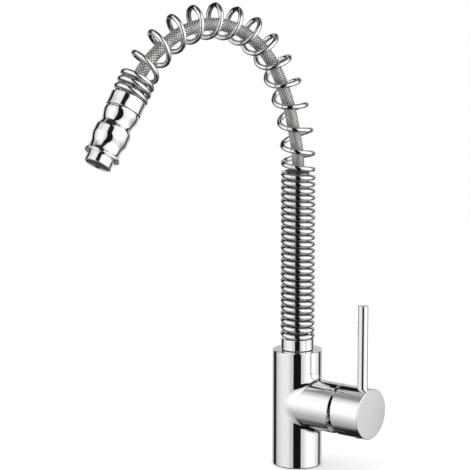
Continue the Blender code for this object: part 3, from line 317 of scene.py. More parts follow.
def spread(tree, source, low, high, start=0.3, end=0.7):
    """Source stretched over low to high."""
    node = added(tree, "MapRange")
    node.inputs["From Min"].default_value = start
    node.inputs["From Max"].default_value = end
    node.inputs["To Min"].default_value = low
    node.inputs["To Max"].default_value = high
    tree.links.new(source, node.inputs["Value"])
    return node.outputs["Result"]


def blended(tree, kind, factor, first, second):
    """Two values mixed or multiplied."""
    node = added(tree, "Mix")
    node.data_type = "RGBA"
    node.blend_type = kind
    node.inputs["Factor"].default_value = 1
    if factor:
        tree.links.new(factor, node.inputs["Factor"])
    tree.links.new(first, node.inputs["A"])
    tree.links.new(second, node.inputs["B"])
    return node.outputs["Result"]


def tint(tree, source, stops):
    """Colour ramp driven by source."""
    ramp = added(tree, "ValToRGB")
    bar = ramp.color_ramp
    while len(bar.elements) < len(stops):
        bar.elements.new(0.5)
    for element, (place, color) in zip(bar.elements, stops):
        element.position = place
        element.color = (*color, 1)
    tree.links.new(source, ramp.inputs["Fac"])
    return ramp.outputs["Color"]


def bump(tree, shader, source, strength, distance):
    """Relief on the finish, driven by source."""
    node = added(tree, "Bump")
    node.inputs["Strength"].default_value = strength
    node.inputs["Distance"].default_value = distance
    tree.links.new(source, node.inputs["Height"])
    tree.links.new(node.outputs["Normal"], shader.inputs["Normal"])


def chrome(name, edge=0.0):
    """Bright plating: nearly a mirror, with faint haze; edge sets painted shade that darkens the
    colour where the skin is seen aslant.
    """
    made, tree, shader = material(name)
    shader.inputs["Metallic"].default_value = 1
    haze = noise(tree, 38, 3)
    color = tint(tree, haze, [(0.3, (0.81, 0.82, 0.83)), (0.7, (0.84, 0.85, 0.855))])
    # Painted shade: the colour darkens towards the rims seen aslant, standing in for the dark
    # edges that shade and nearby reflections give the wire.
    if edge:
        painted_rim_shade = added(tree, "LayerWeight")
        rim = spread(tree, painted_rim_shade.outputs["Facing"], 1, 1 - edge, start=0.35, end=0.75)
        color = blended(tree, "MULTIPLY", None, color, rim)
    tree.links.new(color, shader.inputs["Base Color"])
    tree.links.new(spread(tree, noise(tree, 420, 4), 0.03, 0.07), shader.inputs["Roughness"])
    bump(tree, shader, noise(tree, 55, 1), 0.05, 0.00003)
    return made


def metal(name, dark, light, rough, grain, bumpiness):
    """Machined metal with fine tool marks round its axis."""
    made, tree, shader = material(name)
    shader.inputs["Metallic"].default_value = 1
    marks = noise(tree, 900, 3, grain)
    stain = noise(tree, 70, 3)
    color = tint(tree, stain, [(0.3, dark), (0.7, light)])
    tree.links.new(color, shader.inputs["Base Color"])
    tree.links.new(spread(tree, marks, rough - 0.07, rough + 0.08), shader.inputs["Roughness"])
    bump(tree, shader, marks, bumpiness, 0.0001)
    return made


def moulded(name, dark, light, rough, grain):
    """Moulded plastic, rubber or ceramic with a fine surface grain."""
    made, tree, shader = material(name)
    speckle = noise(tree, grain, 5)
    color = tint(tree, noise(tree, 120, 3), [(0.35, dark), (0.65, light)])
    tree.links.new(color, shader.inputs["Base Color"])
    tree.links.new(spread(tree, speckle, rough - 0.08, rough + 0.08), shader.inputs["Roughness"])
    bump(tree, shader, speckle, 0.2, 0.00008)
    return made


def braid(name):
    """Fine wires woven round the hose, with painted shade: the colour is dark down between the
    strands and light on their tops.
    """
    made, tree, shader = material(name)
    # Painted shade: the weave's height on the points darkens the colour in the crevices between
    # the strands.
    height = added(tree, "Attribute")
    height.attribute_name = "weave"
    wires = noise(tree, 1600, 2)
    shade = added(tree, "Math")
    shade.operation = "MULTIPLY_ADD"
    shade.inputs[1].default_value = 0.3
    tree.links.new(wires, shade.inputs[0])
    tree.links.new(spread(tree, height.outputs["Fac"], 0, 0.8, 0.5, 1.0), shade.inputs[2])
    stops = [(0.15, (0.06, 0.06, 0.055)), (0.5, (0.36, 0.36, 0.34)), (0.9, (0.92, 0.92, 0.87))]
    tree.links.new(tint(tree, shade.outputs["Value"], stops), shader.inputs["Base Color"])
    shader.inputs["Metallic"].default_value = 0.7
    tree.links.new(spread(tree, wires, 0.38, 0.55), shader.inputs["Roughness"])
    bump(tree, shader, wires, 0.4, 0.0001)
    return made


BRUSHED = (0.15, 0.15, 3)
FINISH = {name: make(name, *values) for name, make, *values in (
    ("chrome", chrome),
    # Chrome for the spring's wire, with painted shade darkening its rims seen aslant
    ("wire_chrome_painted_rims", chrome, 0.5),
    ("bare_brass", metal, (0.72, 0.53, 0.24), (0.84, 0.66, 0.34), 0.3, BRUSHED, 0.25),
    ("bare_steel", metal, (0.56, 0.57, 0.58), (0.67, 0.68, 0.69), 0.28, BRUSHED, 0.2),
    # Darkened steel: painted shade for the bare steel riser inside the spring
    ("painted_shade_steel", metal, (0.24, 0.24, 0.24), (0.32, 0.32, 0.32), 0.36, BRUSHED, 0.2),
    ("mesh_steel", metal, (0.36, 0.37, 0.38), (0.47, 0.48, 0.49), 0.36, (1, 1, 1), 0.2),
    ("black_rubber", moulded, (0.015, 0.015, 0.015), (0.03, 0.03, 0.03), 0.68, 700),
    ("black_plastic", moulded, (0.025, 0.025, 0.025), (0.04, 0.04, 0.04), 0.42, 900),
    ("white_plastic", moulded, (0.79, 0.79, 0.76), (0.85, 0.85, 0.83), 0.4, 900),
    ("grey_plastic", moulded, (0.32, 0.32, 0.32), (0.39, 0.39, 0.39), 0.42, 900),
    ("disc_ceramic", moulded, (0.87, 0.85, 0.80), (0.92, 0.90, 0.86), 0.22, 1500),
    ("hose_braid", braid))}
SLOTS = {
    "bare_brass": ("threaded_shank", "fixing_nut", "cartridge_nut", "hose_stem", "hose_nut"),
    "bare_steel": ("clamp_washer", "spigot_clip", "riser_tube", "hose_sleeve", "pivot_pin",
                   "spindle", "grub_screw"),
    "mesh_steel": ("aerator_mesh",),
    "black_rubber": ("base_seal", "rubber_washer", "cartridge_seal", "spigot_o_ring",
                     "inlet_washer", "aerator_seal"),
    "black_plastic": ("hose_grommet", "cartridge_rotor"),
    "white_plastic": ("swivel_glide_ring", "riser_bush", "collar_bush", "cartridge_base",
                      "cartridge_housing", "disc_carrier", "check_valve"),
    "grey_plastic": ("aerator_insert", "index_plug"),
    "disc_ceramic": ("fixed_disc", "moving_disc"),
    "hose_braid": ("spray_hose",),
}


def finish_nodes():
    """Every CAD node gets its finish, the plated ones chrome."""
    named = {node: slot for slot, nodes in SLOTS.items() for node in nodes}
    for name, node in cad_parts.items():
        node.data.materials.clear()
        node.data.materials.append(FINISH[named.get(name, "chrome")])


# Shape helpers


def placed(name, data):
    """Object of this name, linked to the scene."""
    item = bpy.data.objects.new(name, data)
    bpy.context.scene.collection.objects.link(item)
    return item


def shown(name, mesh, slot, body, *nodes, look=None):
    """Piece with its finish, riding on a body in place of CAD nodes."""
    mesh.materials.append(FINISH[look or slot])
    item = placed(name, mesh)
    if nodes:
        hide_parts(*nodes)
    if body:
        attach(item, body)
    return item


def polar(radius, angle, height):
    """Point by its radius, its angle about Z and its height."""
    return Vector((radius * math.cos(angle), radius * math.sin(angle), height))


def rounded(corners, steps=6):
    """Outline with a fillet at each corner that gives a radius as a third value."""
    points = []
    for i, corner in enumerate(corners):
        here = Vector(corner[:2])
        if len(corner) < 3:
            points.append(here)
            continue
        back = (Vector(corners[i - 1][:2]) - here).normalized()
        ahead = (Vector(corners[(i + 1) % len(corners)][:2]) - here).normalized()
        half = back.angle(ahead) / 2
        middle = here + (back + ahead).normalized() * corner[2] / math.sin(half)
        arm = here + back * corner[2] / math.tan(half) - middle
        last = here + ahead * corner[2] / math.tan(half) - middle
        turn = math.atan2(arm.x * last.y - arm.y * last.x, arm.dot(last))
        for k in range(steps + 1):
            angle = turn * k / steps
            points.append(middle + Vector((arm.x * math.cos(angle) - arm.y * math.sin(angle),
                                           arm.x * math.sin(angle) + arm.y * math.cos(angle))))
    return points


def eased(start, end, steps=20):
    """Half a cosine wave from one point to the next, the first left out."""
    points = []
    for i in range(1, steps + 1):
        share = (1 - math.cos(math.pi * i / steps)) / 2
        points.append((start[0] + (end[0] - start[0]) * share,
                       start[1] + (end[1] - start[1]) * i / steps))
    return points


def arc(middle, radius, first, last, steps=20):
    """Points on a circle in the outline's plane, angles from the +radius side."""
    return [(middle[0] + radius * math.cos(first + (last - first) * i / steps),
             middle[1] + radius * math.sin(first + (last - first) * i / steps))
            for i in range(steps + 1)]


def below(points):
    """Outline given by distance down from the collar's top, as heights."""
    return [(point[0], -point[1], *point[2:]) for point in points]


def ring(outer, inner, low, high, rim):
    """Outline of a ring with its outer edges rounded."""
    return rounded([(outer, high, rim), (outer, low, rim), (inner, low), (inner, high)])


def skinned(name, points, faces, sharp=SMOOTH_ANGLE):
    """Smooth mesh whose edges beyond an angle stay sharp."""
    mesh = bpy.data.meshes.new(name)
    mesh.from_pydata(points, [], faces)
    mesh.shade_smooth()
    mesh.set_sharp_from_angle(angle=sharp)
    return mesh


def ringed(name, rows, sharp=SMOOTH_ANGLE):
    """Closed skin through rows of radius and height, one pair for each step about Z."""
    sides = len(rows[0])
    points, faces = [], []
    for row in rows:
        for j, (radius, height) in enumerate(row):
            angle = 2 * math.pi * j / sides
            points.append(polar(radius, angle, height))
    for i in range(len(rows)):
        near, far = i * sides, (i + 1) % len(rows) * sides
        for j in range(sides):
            k = (j + 1) % sides
            faces.append((near + k, near + j, far + j, far + k))
    return skinned(name, points, faces, sharp)


def turned(outline, place, sides=128, warp=None):
    """Outline turned about Z, its normals taken from the outline so that it mirrors cleanly."""
    outline = [Vector(point[:2]) for point in outline]
    closed = outline[0].x > 0
    area = sum(a.x * b.y - b.x * a.y for a, b in zip(outline, outline[1:] + outline[:1]))
    if area < 0:
        outline.reverse()
    count = len(outline)
    runs = count if closed else count - 1
    facing = []
    for k in range(runs):
        step = outline[(k + 1) % count] - outline[k]
        facing.append((Vector((step.y, -step.x)).normalized(), step.length))

    def normal(k, corner):
        """Normal at a corner as run k has it, shared with the next run where it's smooth."""
        own, length = facing[k]
        other = k - 1 if corner == k else k + 1
        if closed:
            other %= runs
        if not 0 <= other < runs:
            return own
        near, reach = facing[other]
        if own.angle(near) > SMOOTH_ANGLE:
            return own
        return (own * length + near * reach).normalized()

    points, rows = [], []
    for point in outline:
        if point.x > 0:
            rows.append([len(points) + j for j in range(sides)])
            for j in range(sides):
                angle = 2 * math.pi * j / sides
                points.append(polar(point.x, angle, point.y))
        else:
            rows.append([len(points)] * sides)
            points.append(Vector((0, 0, point.y)))
    if warp:
        points = [warp(point) for point in points]
    faces, normals = [], []
    turn = place.to_3x3()
    for k in range(runs):
        low, high = rows[k], rows[(k + 1) % count]
        ends = (normal(k, k), normal(k, k + 1))
        for j in range(sides):
            face = []
            for row, end, at in ((low, 0, j), (low, 0, j + 1), (high, 1, j + 1), (high, 1, j)):
                spot = row[at % sides]
                if spot in face:
                    continue
                face.append(spot)
                angle = 2 * math.pi * at / sides
                flat = ends[end]
                normals.append(turn @ polar(flat.x, angle, flat.y))
            faces.append(face)
    mesh = bpy.data.meshes.new("turned")
    mesh.from_pydata([place @ point for point in points], [], faces)
    mesh.shade_smooth()
    mesh.normals_split_custom_set(normals)
    return mesh


def swept(middles, across, radius, sides):
    """Tube round a line of points; radius(ring, angle) gives the skin, across the ring's way."""
    count = len(middles)
    points, faces = [], []
    for i, middle in enumerate(middles):
        tangent = middles[min(i + 1, count - 1)] - middles[max(i - 1, 0)]
        tangent.normalize()
        first = across[i] - tangent * across[i].dot(tangent)
        first.normalize()
        second = tangent.cross(first)
        for j in range(sides):
            angle = 2 * math.pi * j / sides
            reach = radius(i, angle)
            points.append(middle + reach * (math.cos(angle) * first + math.sin(angle) * second))
    for i in range(count - 1):
        for j in range(sides):
            k = (j + 1) % sides
            faces.append((i * sides + j, i * sides + k, (i + 1) * sides + k,
                          (i + 1) * sides + j))
    faces.append([sides - 1 - j for j in range(sides)])
    faces.append([(count - 1) * sides + j for j in range(sides)])
    return skinned("swept", points, faces)


# Body: lofted finely, with its hose way and cartridge chamber


def body_path(side, up):
    """Line on the skin from an end of the body to the branch's mouth and into it."""
    end = BODY_TOP if up > 0 else FOOT_LIFT
    rim = TOP_RIM if up > 0 else FOOT_RIM
    across = BODY_RADIUS * math.sin(side)
    ahead = BODY_RADIUS * math.cos(side)
    crest = BRANCH_HEIGHT + up * ahead
    path = rim_path(side, up, end, rim)
    start, stop = end - up * rim, crest + up * BLEND
    path += [Vector((ahead, across, start + (stop - start) * share)) for share in RUN_SHARES]
    for i in range(1, WEB_STEPS + 1):
        angle = QUARTER * i / WEB_STEPS
        path.append(Vector((ahead + BLEND * (1 - math.cos(angle)), across,
                            crest + up * BLEND * (1 - math.sin(angle)))))
    relief = math.tan(MOUTH_RELIEF) * math.cos(side) if up < 0 else 0
    start, stop = ahead + BLEND, BRANCH_REACH - relief * BODY_RADIUS - MOUTH_RIM
    path += [Vector((start + (stop - start) * share, across, crest)) for share in RUN_SHARES]
    rings = []
    for i in range(1, RIM_STEPS + 1):
        angle = QUARTER * i / RIM_STEPS
        radius = BODY_RADIUS - MOUTH_RIM * (1 - math.cos(angle))
        rings.append((radius, BRANCH_REACH - relief * radius - MOUTH_RIM * (1 - math.sin(angle))))
    edge = MOUTH_RADIUS + GAP
    rings += [(edge, BRANCH_REACH - relief * edge),
              (MOUTH_RADIUS, BRANCH_REACH - relief * MOUTH_RADIUS - GAP),
              (MOUTH_RADIUS, HOUSING_SHOULDER), (CHAMBER_RADIUS, HOUSING_SHOULDER),
              (CHAMBER_RADIUS, CHAMBER_FLOOR), (0, CHAMBER_FLOOR)]
    for radius, along in rings:
        path.append(Vector((along, radius * math.sin(side),
                            BRANCH_HEIGHT + up * radius * math.cos(side))))
    return path


def rim_path(side, up, end, rim):
    """Rounded edge from an end face to the skin."""
    path = []
    for i in range(RIM_STEPS + 1):
        angle = QUARTER * i / RIM_STEPS
        radius = BODY_RADIUS - rim * (1 - math.sin(angle))
        path.append(polar(radius, side, end - up * rim * (1 - math.cos(angle))))
    return path


def back_path(side):
    """Line on the skin from foot to top, for the half away from the branch."""
    half = []
    for up, end, rim in ((-1, FOOT_LIFT, FOOT_RIM), (1, BODY_TOP, TOP_RIM)):
        path = rim_path(side, up, end, rim)
        start = end - up * rim
        stop = BRANCH_HEIGHT + up * BLEND
        path += [polar(BODY_RADIUS, side, start + (stop - start) * share)
                 for share in RUN_SHARES]
        half.append(path)
    return half[0] + half[1][::-1]


def inner_path(side):
    """Foot, seal groove, recess for the shank, hose way and the spigot's bore."""
    bore = SPIGOT_RADIUS + GAP
    floor = FERRULE_FOOT - SPIGOT_LENGTH - SPIGOT_FLOOR
    glide = FERRULE_FOOT - GLIDE_THICKNESS - 2 * GAP
    groove = SEAL_THICKNESS + GAP
    outline = [(BODY_RADIUS - FOOT_RIM, FOOT_LIFT), (SEAL_OUTER + GAP, FOOT_LIFT),
               (SEAL_OUTER + GAP, groove), (SEAL_INNER - GAP, groove),
               (SEAL_INNER - GAP, FOOT_LIFT), (SHANK_RADIUS + GAP, FOOT_LIFT),
               (SHANK_RADIUS + GAP, RECESS_TOP), (PASSAGE_RADIUS, RECESS_TOP),
               (PASSAGE_RADIUS, floor), (bore, floor), (bore, CLIP_LOW),
               (CLIP_EDGE, CLIP_LOW), (CLIP_EDGE, CLIP_HIGH), (bore, CLIP_HIGH),
               (bore, glide), (GLIDE_OUTER + GAP, glide), (GLIDE_OUTER + GAP, BODY_TOP),
               (BODY_RADIUS - TOP_RIM, BODY_TOP)]
    return [polar(radius, side, height) for radius, height in outline]


def body():
    """Sheets of paths round the body, closed at each flank by a web under the blends."""
    bm = bmesh.new()
    front = [math.pi * i / HALF_SIDES - QUARTER for i in range(HALF_SIDES + 1)]
    back = [math.pi * i / HALF_SIDES + QUARTER for i in range(HALF_SIDES + 1)]
    sheets = [[body_path(side, -1) for side in front], [body_path(side, 1) for side in front],
              [back_path(side) for side in back],
              [inner_path(side) for side in front + back[1:]]]
    for paths in sheets:
        rows = [[bm.verts.new(point) for point in path] for path in paths]
        for left, right in zip(rows, rows[1:]):
            for i in range(len(left) - 1):
                bm.faces.new((left[i], right[i], right[i + 1], left[i + 1]))
    web_start = RIM_STEPS + len(RUN_SHARES)
    for side in (-QUARTER, QUARTER):
        low, high = [path[web_start:web_start + WEB_STEPS + 1]
                     for path in (body_path(side, -1), body_path(side, 1))]
        for i in range(WEB_STEPS):
            corners = [low[i], low[i + 1], high[i + 1], high[i]]
            bm.faces.new([bm.verts.new(point) for point in corners])
    bmesh.ops.remove_doubles(bm, verts=bm.verts, dist=MERGE)
    bmesh.ops.dissolve_degenerate(bm, edges=bm.edges, dist=MERGE)
    bmesh.ops.recalc_face_normals(bm, faces=bm.faces)
    mesh = bpy.data.meshes.new("body")
    bm.to_mesh(mesh)
    bm.free()
    mesh.shade_smooth()
    mesh.set_sharp_from_angle(angle=SMOOTH_ANGLE)
    shown("body_skin", mesh, "chrome", "base", "body_casting")


# Foot and clamp


def clamp():
    """Foot seal, and what holds the tap from below the worktop."""
    bore = SHANK_RADIUS + GAP
    rubber = ring(CLAMP_RADIUS, bore, -WORKTOP - RUBBER_THICKNESS, -WORKTOP, RUBBER_RIM)
    plate_top = -WORKTOP - RUBBER_THICKNESS - GAP
    plate_foot = plate_top - WASHER_THICKNESS
    shown("foot_seal", turned(ring(SEAL_OUTER, SEAL_INNER, 0, SEAL_THICKNESS, SEAL_RIM), WORLD),
          "black_rubber", "base", "base_seal")
    shown("clamp_rubber", turned(rubber, WORLD), "black_rubber", "base", "rubber_washer")
    shown("clamp_plate", turned(ring(CLAMP_RADIUS, bore, plate_foot, plate_top, FINE_RIM), WORLD),
          "bare_steel", "base", "clamp_washer")
    shown("shank_thread", thread(), "bare_brass", "base", "threaded_shank")
    shown("shank_nut", hexagon_nut(plate_foot - GAP), "bare_brass", "base", "fixing_nut")
    for name in ("clamp_rubber", "clamp_plate", "shank_thread", "shank_nut"):
        bpy.data.objects[name].visible_glossy = False
    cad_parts["hose_grommet"].visible_glossy = False


def thread():
    """Tube with a helical thread cut in its skin below the worktop's top."""
    top, foot = RECESS_TOP - GAP, -SHANK_DROP
    heights = [top, THREAD_TOP]
    while heights[-1] > foot + FINE_RIM:
        heights.append(max(heights[-1] - THREAD_PITCH / THREAD_STEPS, foot + LAST_ROW))
    rows = [[(SHANK_BORE, top)] * THREAD_SIDES]
    for height in heights:
        row = []
        for j in range(THREAD_SIDES):
            phase = (height / THREAD_PITCH + j / THREAD_SIDES) % 1
            cut = THREAD_DEPTH * min(1, abs(2 * phase - 1) * THREAD_FLANK)
            cut *= min(1, max(0, (THREAD_START - height) / THREAD_FADE))
            lead = max(0, SHANK_CHAMFER - (height + SHANK_DROP)) * CHAMFER_LEAN
            row.append((SHANK_RADIUS - max(cut, lead), height))
        rows.append(row)
    rows += [[(SHANK_RADIUS - SHANK_CHAMFER, foot)] * THREAD_SIDES,
             [(SHANK_BORE, foot)] * THREAD_SIDES]
    return ringed("thread", rows)


def hexagon_nut(top):
    """Six flats with chamfered corners."""
    bore, face = SHANK_RADIUS + GAP, NUT_APOTHEM - FINE_RIM
    foot, sixth = top - NUT_HEIGHT, math.pi / 6
    columns = []
    for j in range(FINE_SIDES):
        angle = 2 * math.pi * j / FINE_SIDES
        corner = NUT_APOTHEM / math.cos((angle + sixth) % (2 * sixth) - sixth)
        drop = (corner - face) * NUT_CHAMFER_SLOPE
        columns.append([(bore, top), (face, top), (corner, top - drop), (corner, foot + drop),
                        (face, foot), (bore, foot)])
    return ringed("nut", list(zip(*columns)), NUT_SMOOTH_ANGLE)


# Ferrule, spring, hose and riser


def ferrule():
    """Ferrule on its spigot, with a seat for the riser."""
    high = FERRULE_FOOT - RING_DROP + RING_SECTION + GAP
    low = high - 2 * RING_SECTION - 2 * GAP
    end = FERRULE_FOOT - SPIGOT_LENGTH
    seat, floor = RISER_RADIUS + GAP, FERRULE_FOOT + RISER_SEAT
    outline = [(FERRULE_RADIUS, FERRULE_TOP, FERRULE_RIM),
               (FERRULE_RADIUS, FERRULE_FOOT, FERRULE_RIM), (SPIGOT_RADIUS, FERRULE_FOOT),
               (SPIGOT_RADIUS, high), (RING_ROOT, high), (RING_ROOT, low), (SPIGOT_RADIUS, low),
               (SPIGOT_RADIUS, CLIP_HIGH), (CLIP_ROOT, CLIP_HIGH), (CLIP_ROOT, CLIP_LOW),
               (SPIGOT_RADIUS, CLIP_LOW), (SPIGOT_RADIUS, end), (FERRULE_BORE, end),
               (FERRULE_BORE, floor), (seat, floor), (seat, FERRULE_TOP)]
    shown("ferrule_skin", turned(rounded(outline), SPOUT), "chrome", "spout", "spout_ferrule")


def riser():
    """Stiff tube in the column, with the plastic mouth that the hose leaves it by, both in
    darkened finishes as painted shade.
    """
    top, bore = ARCH_FOOT - RISER_DROP, RISER_RADIUS - RISER_WALL
    outline = ring(RISER_RADIUS, bore, FERRULE_FOOT + RISER_SEAT + GAP, top, FINE_RIM)
    # Painted shade: the bare steel tube wears a darkened steel, for its shadowed place inside the
    # spring.
    shown("riser_skin", turned(outline, SPOUT, FINE_SIDES), "bare_steel", "spout",
          "riser_tube", look="painted_shade_steel")
    foot, brim, skirt = top + GAP, top + GAP + BUSH_BRIM, top - BUSH_SKIRT
    bush = [(RISER_RADIUS, brim, BUSH_LIP), (RISER_RADIUS, foot), (bore - GAP, foot),
            (bore - GAP, skirt), (PASSAGE_RADIUS, skirt), (PASSAGE_RADIUS, brim, BUSH_LIP)]
    # Painted shade: the white plastic mouth wears black plastic, for its shadowed place inside
    # the spring.
    shown("riser_mouth", turned(rounded(bush), SPOUT, FINE_SIDES), "white_plastic", "spout",
          "riser_bush", look="black_plastic")


def spring_stages():
    """Turns with the rise per turn at each stage's start and end, ending on the collar."""
    first = FERRULE_TOP + GAP + WIRE_RADIUS
    last = DOCK_END - GAP - WIRE_RADIUS
    closing = (2 * WIRE_RADIUS + COIL_GAP) / (1 - END_FLAT_SHARE)
    low = [(END_FLAT_SHARE, 0, 0), (1 - END_FLAT_SHARE, closing, closing),
           (CLOSE_TURNS, CLOSE_PITCH, CLOSE_PITCH)]
    high = [(TOP_TURNS, TOP_PITCH, TOP_PITCH), (1 - END_FLAT_SHARE, closing, closing),
            (END_FLAT_SHARE, 0, 0)]
    used = sum(turns * (start + end) / 2 for turns, start, end in low + high)
    used += WIDENING_TURNS * CLOSE_PITCH / 2 + CLOSING_SHARE * TOP_PITCH / 2
    weight = (WIDENING_TURNS * EASING + OPEN_TURNS * (1 + EASING) + CLOSING_SHARE) / 2
    pitch = (last - first - used) / weight
    wide = pitch * EASING
    middle = [(WIDENING_TURNS, CLOSE_PITCH, wide), (OPEN_TURNS, wide, pitch),
              (CLOSING_SHARE, pitch, TOP_PITCH)]
    return first, low + middle + high


def spring_height(turn, first, stages):
    """Length along the neck that the wire has reached after some turns."""
    along = first
    for turns, start, end in stages:
        done = min(turn, turns)
        along += done * start + (end - start) * done * done / (2 * turns)
        turn -= done
    return along


def spring():
    """The wire as one unbroken tube, its ends cut square with a small chamfer."""
    first, stages = spring_stages()
    total = sum(stage[0] for stage in stages)
    count = round(total * COIL_STEPS)
    middles, outwards = [], []
    for i in range(count + 1):
        turn = total * i / count
        middle, lean = neck(spring_height(turn, first, stages))
        angle = COIL_START - 2 * math.pi * turn
        outward = Vector((math.cos(angle), math.sin(angle) * math.cos(lean),
                          math.sin(angle) * math.sin(lean)))
        middles.append(SPOUT @ (middle + COIL_RADIUS * outward))
        outwards.append(SPOUT.to_3x3() @ outward)
    for end, back in ((0, 1), (-1, -2)):
        step = (middles[back] - middles[end]).normalized() * FINE_RIM
        spot = 1 if end == 0 else len(middles) - 1
        middles.insert(spot, middles[end] + step)
        outwards.insert(spot, outwards[end])
    last = len(middles) - 1
    mesh = swept(middles, outwards,
                 lambda i, angle: WIRE_RADIUS - (FINE_RIM if i in (0, last) else 0), WIRE_SIDES)
    # The wire's finish carries painted shade on its rims seen aslant.
    shown("spring_wire", mesh, "chrome", "spout", "spring", look="wire_chrome_painted_rims")


def weave(u, v):
    """Height of a plain weave of two sets of strands, one cell to a strand, 0 to 1."""
    across_u = 2 * (u % 1) - 1
    across_v = 2 * (v % 1) - 1
    over_u = math.cos(math.pi * (v - 0.5 + math.floor(u)))
    over_v = -math.cos(math.pi * (u - 0.5 + math.floor(v)))
    top_u = STRAND_ROUNDNESS * math.sqrt(1 - across_u * across_u) + STRAND_LIFT * over_u
    top_v = STRAND_ROUNDNESS * math.sqrt(1 - across_v * across_v) + STRAND_LIFT * over_v
    return max(top_u, top_v, 0)


def hose_middle(along):
    """Hose's line: it hangs a little to the inner side of the arch."""
    point, lean = neck(along)
    rise = min(1, max(0, (along - ARCH_FOOT + SAG_LEAD) / SAG_EASE))
    fall = min(1, max(0, (DOCK_END - SAG_END - along) / SAG_EASE))
    sag = HOSE_SAG * math.sin(QUARTER * rise) ** 2 * math.sin(QUARTER * fall) ** 2
    return SPOUT @ (point - sag * Vector((0, math.cos(lean), math.sin(lean))))


def braided(stops, laid):
    """Hose skin at lengths along the neck, woven by the lengths it's laid at."""
    middles = [hose_middle(stop) for stop in stops]
    side = SPOUT.to_3x3() @ Vector((1, 0, 0))
    heights = []

    def skin(i, angle):
        around = STRANDS * angle / (2 * math.pi)
        along = laid[i] / CELL
        heights.append(weave(around + along, around - along))
        return HOSE_RADIUS - WEAVE_DEPTH * (1 - heights[-1])

    mesh = swept(middles, [side] * len(stops), skin, HOSE_SIDES)
    # The weave's height rides on the points for the braid's painted shade between the strands.
    attribute = mesh.attributes.new("weave", "FLOAT", "POINT")
    attribute.data.foreach_set("value", heights)
    return mesh


def hose():
    """Plain inside the body and riser, woven over the arch, and a drawn length at the dock."""
    split = DOCK_END - DRAWN_DROP
    stops = [-SHANK_DROP, *PLAIN_STOPS]
    while stops[-1] < split:
        stops.append(min(stops[-1] + HOSE_STEP, split))
    shown("hose_over_arch", braided(stops, stops), "hose_braid", "spout", "spray_hose")
    start, end, tail = split + DRAWN_LEAD, DOCK_END + DRAWN_END, DOCK_END + CRIMP_END
    stops, laid = [split - OVERLAP, split], [split - OVERLAP, split]
    for i in range(DRAWN_STEPS + 1):
        share = ease_back(i / DRAWN_STEPS, end - start)
        stops.append(start + (end - start) * share)
        laid.append(stops[-1] + PULL_RANGE * share * share * (3 - 2 * share))
    stops.append(tail)
    laid.append(tail + PULL_RANGE)
    drawn = shown("hose_at_dock", braided(stops, laid), "hose_braid", None)
    SPOUT @ neck(start)[0]
    SPOUT @ neck(end)[0]
    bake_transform(drawn)


def ease_back(share, length):
    """Place on the blended length that lies at a share of it once the handset is pulled out."""
    low, high = 0, 1
    for i in range(40):
        middle = (low + high) / 2
        reach = middle * length + PULL_RANGE * middle * middle * (3 - 2 * middle)
        if reach < share * (length + PULL_RANGE):
            low = middle
        else:
            high = middle
    return (low + high) / 2


# Collar and handset


def collar():
    """Collar that the spring ends on, with the neck inside the coil and the dock's bore."""
    seam = COLLAR_LENGTH - SEAM_RIM
    outline = [(RISER_RADIUS, -COLLAR_NECK), (RISER_RADIUS, 0)]
    outline += arc((COLLAR_TOP - COLLAR_RIM, COLLAR_RIM), COLLAR_RIM, -QUARTER, 0, 6)
    outline += eased((COLLAR_TOP, COLLAR_RIM), (COLLAR_WAIST, COLLAR_WAIST_AT))
    outline += eased((COLLAR_WAIST, COLLAR_WAIST_AT), (COLLAR_SEAM, seam))
    outline += arc((COLLAR_SEAM - SEAM_RIM, seam), SEAM_RIM, 0, QUARTER, 4)[1:]
    outline += [(DOCK_RADIUS, COLLAR_LENGTH), (DOCK_RADIUS, COLLAR_CEILING),
                (PASSAGE_RADIUS, COLLAR_CEILING), (PASSAGE_RADIUS, -COLLAR_NECK)]
    shown("collar_skin", turned(below(outline), DOCK), "chrome", "spout", "docking_collar")


def handset():
    """Sleeve, bulb, waist, bulb, neck and flange."""
    seam = SHELL_TOP + SEAM_RIM
    outline = [(SLEEVE_RADIUS, SLEEVE_TOP), (SLEEVE_RADIUS, SHELL_TOP)]
    outline += arc((SHELL_SHOULDER - SEAM_RIM, seam), SEAM_RIM, -QUARTER, 0, 4)
    outline += eased((SHELL_SHOULDER, seam), (BULB_1, BULB_1_AT), 8)
    outline += eased((BULB_1, BULB_1_AT), (WAIST, WAIST_AT))
    outline += eased((WAIST, WAIST_AT), (BULB_2, BULB_2_AT))
    outline += [(BULB_2, along) for along in BULB_2_STOPS]
    outline += eased((BULB_2, BULB_2_STOPS[-1]), (NECK, NECK_AT))
    for i in range(1, COVE_STEPS + 1):
        angle = QUARTER * i / COVE_STEPS
        outline.append((NECK + (FLANGE - NECK) * (1 - math.cos(angle)),
                        NECK_AT + (FLANGE_AT - NECK_AT) * math.sin(angle)))
    outline += FLANGE_EDGE + HANDSET_BORE
    shown("handset_skin", turned(below(outline), DOCK), "chrome", "handset", "handset_shell")


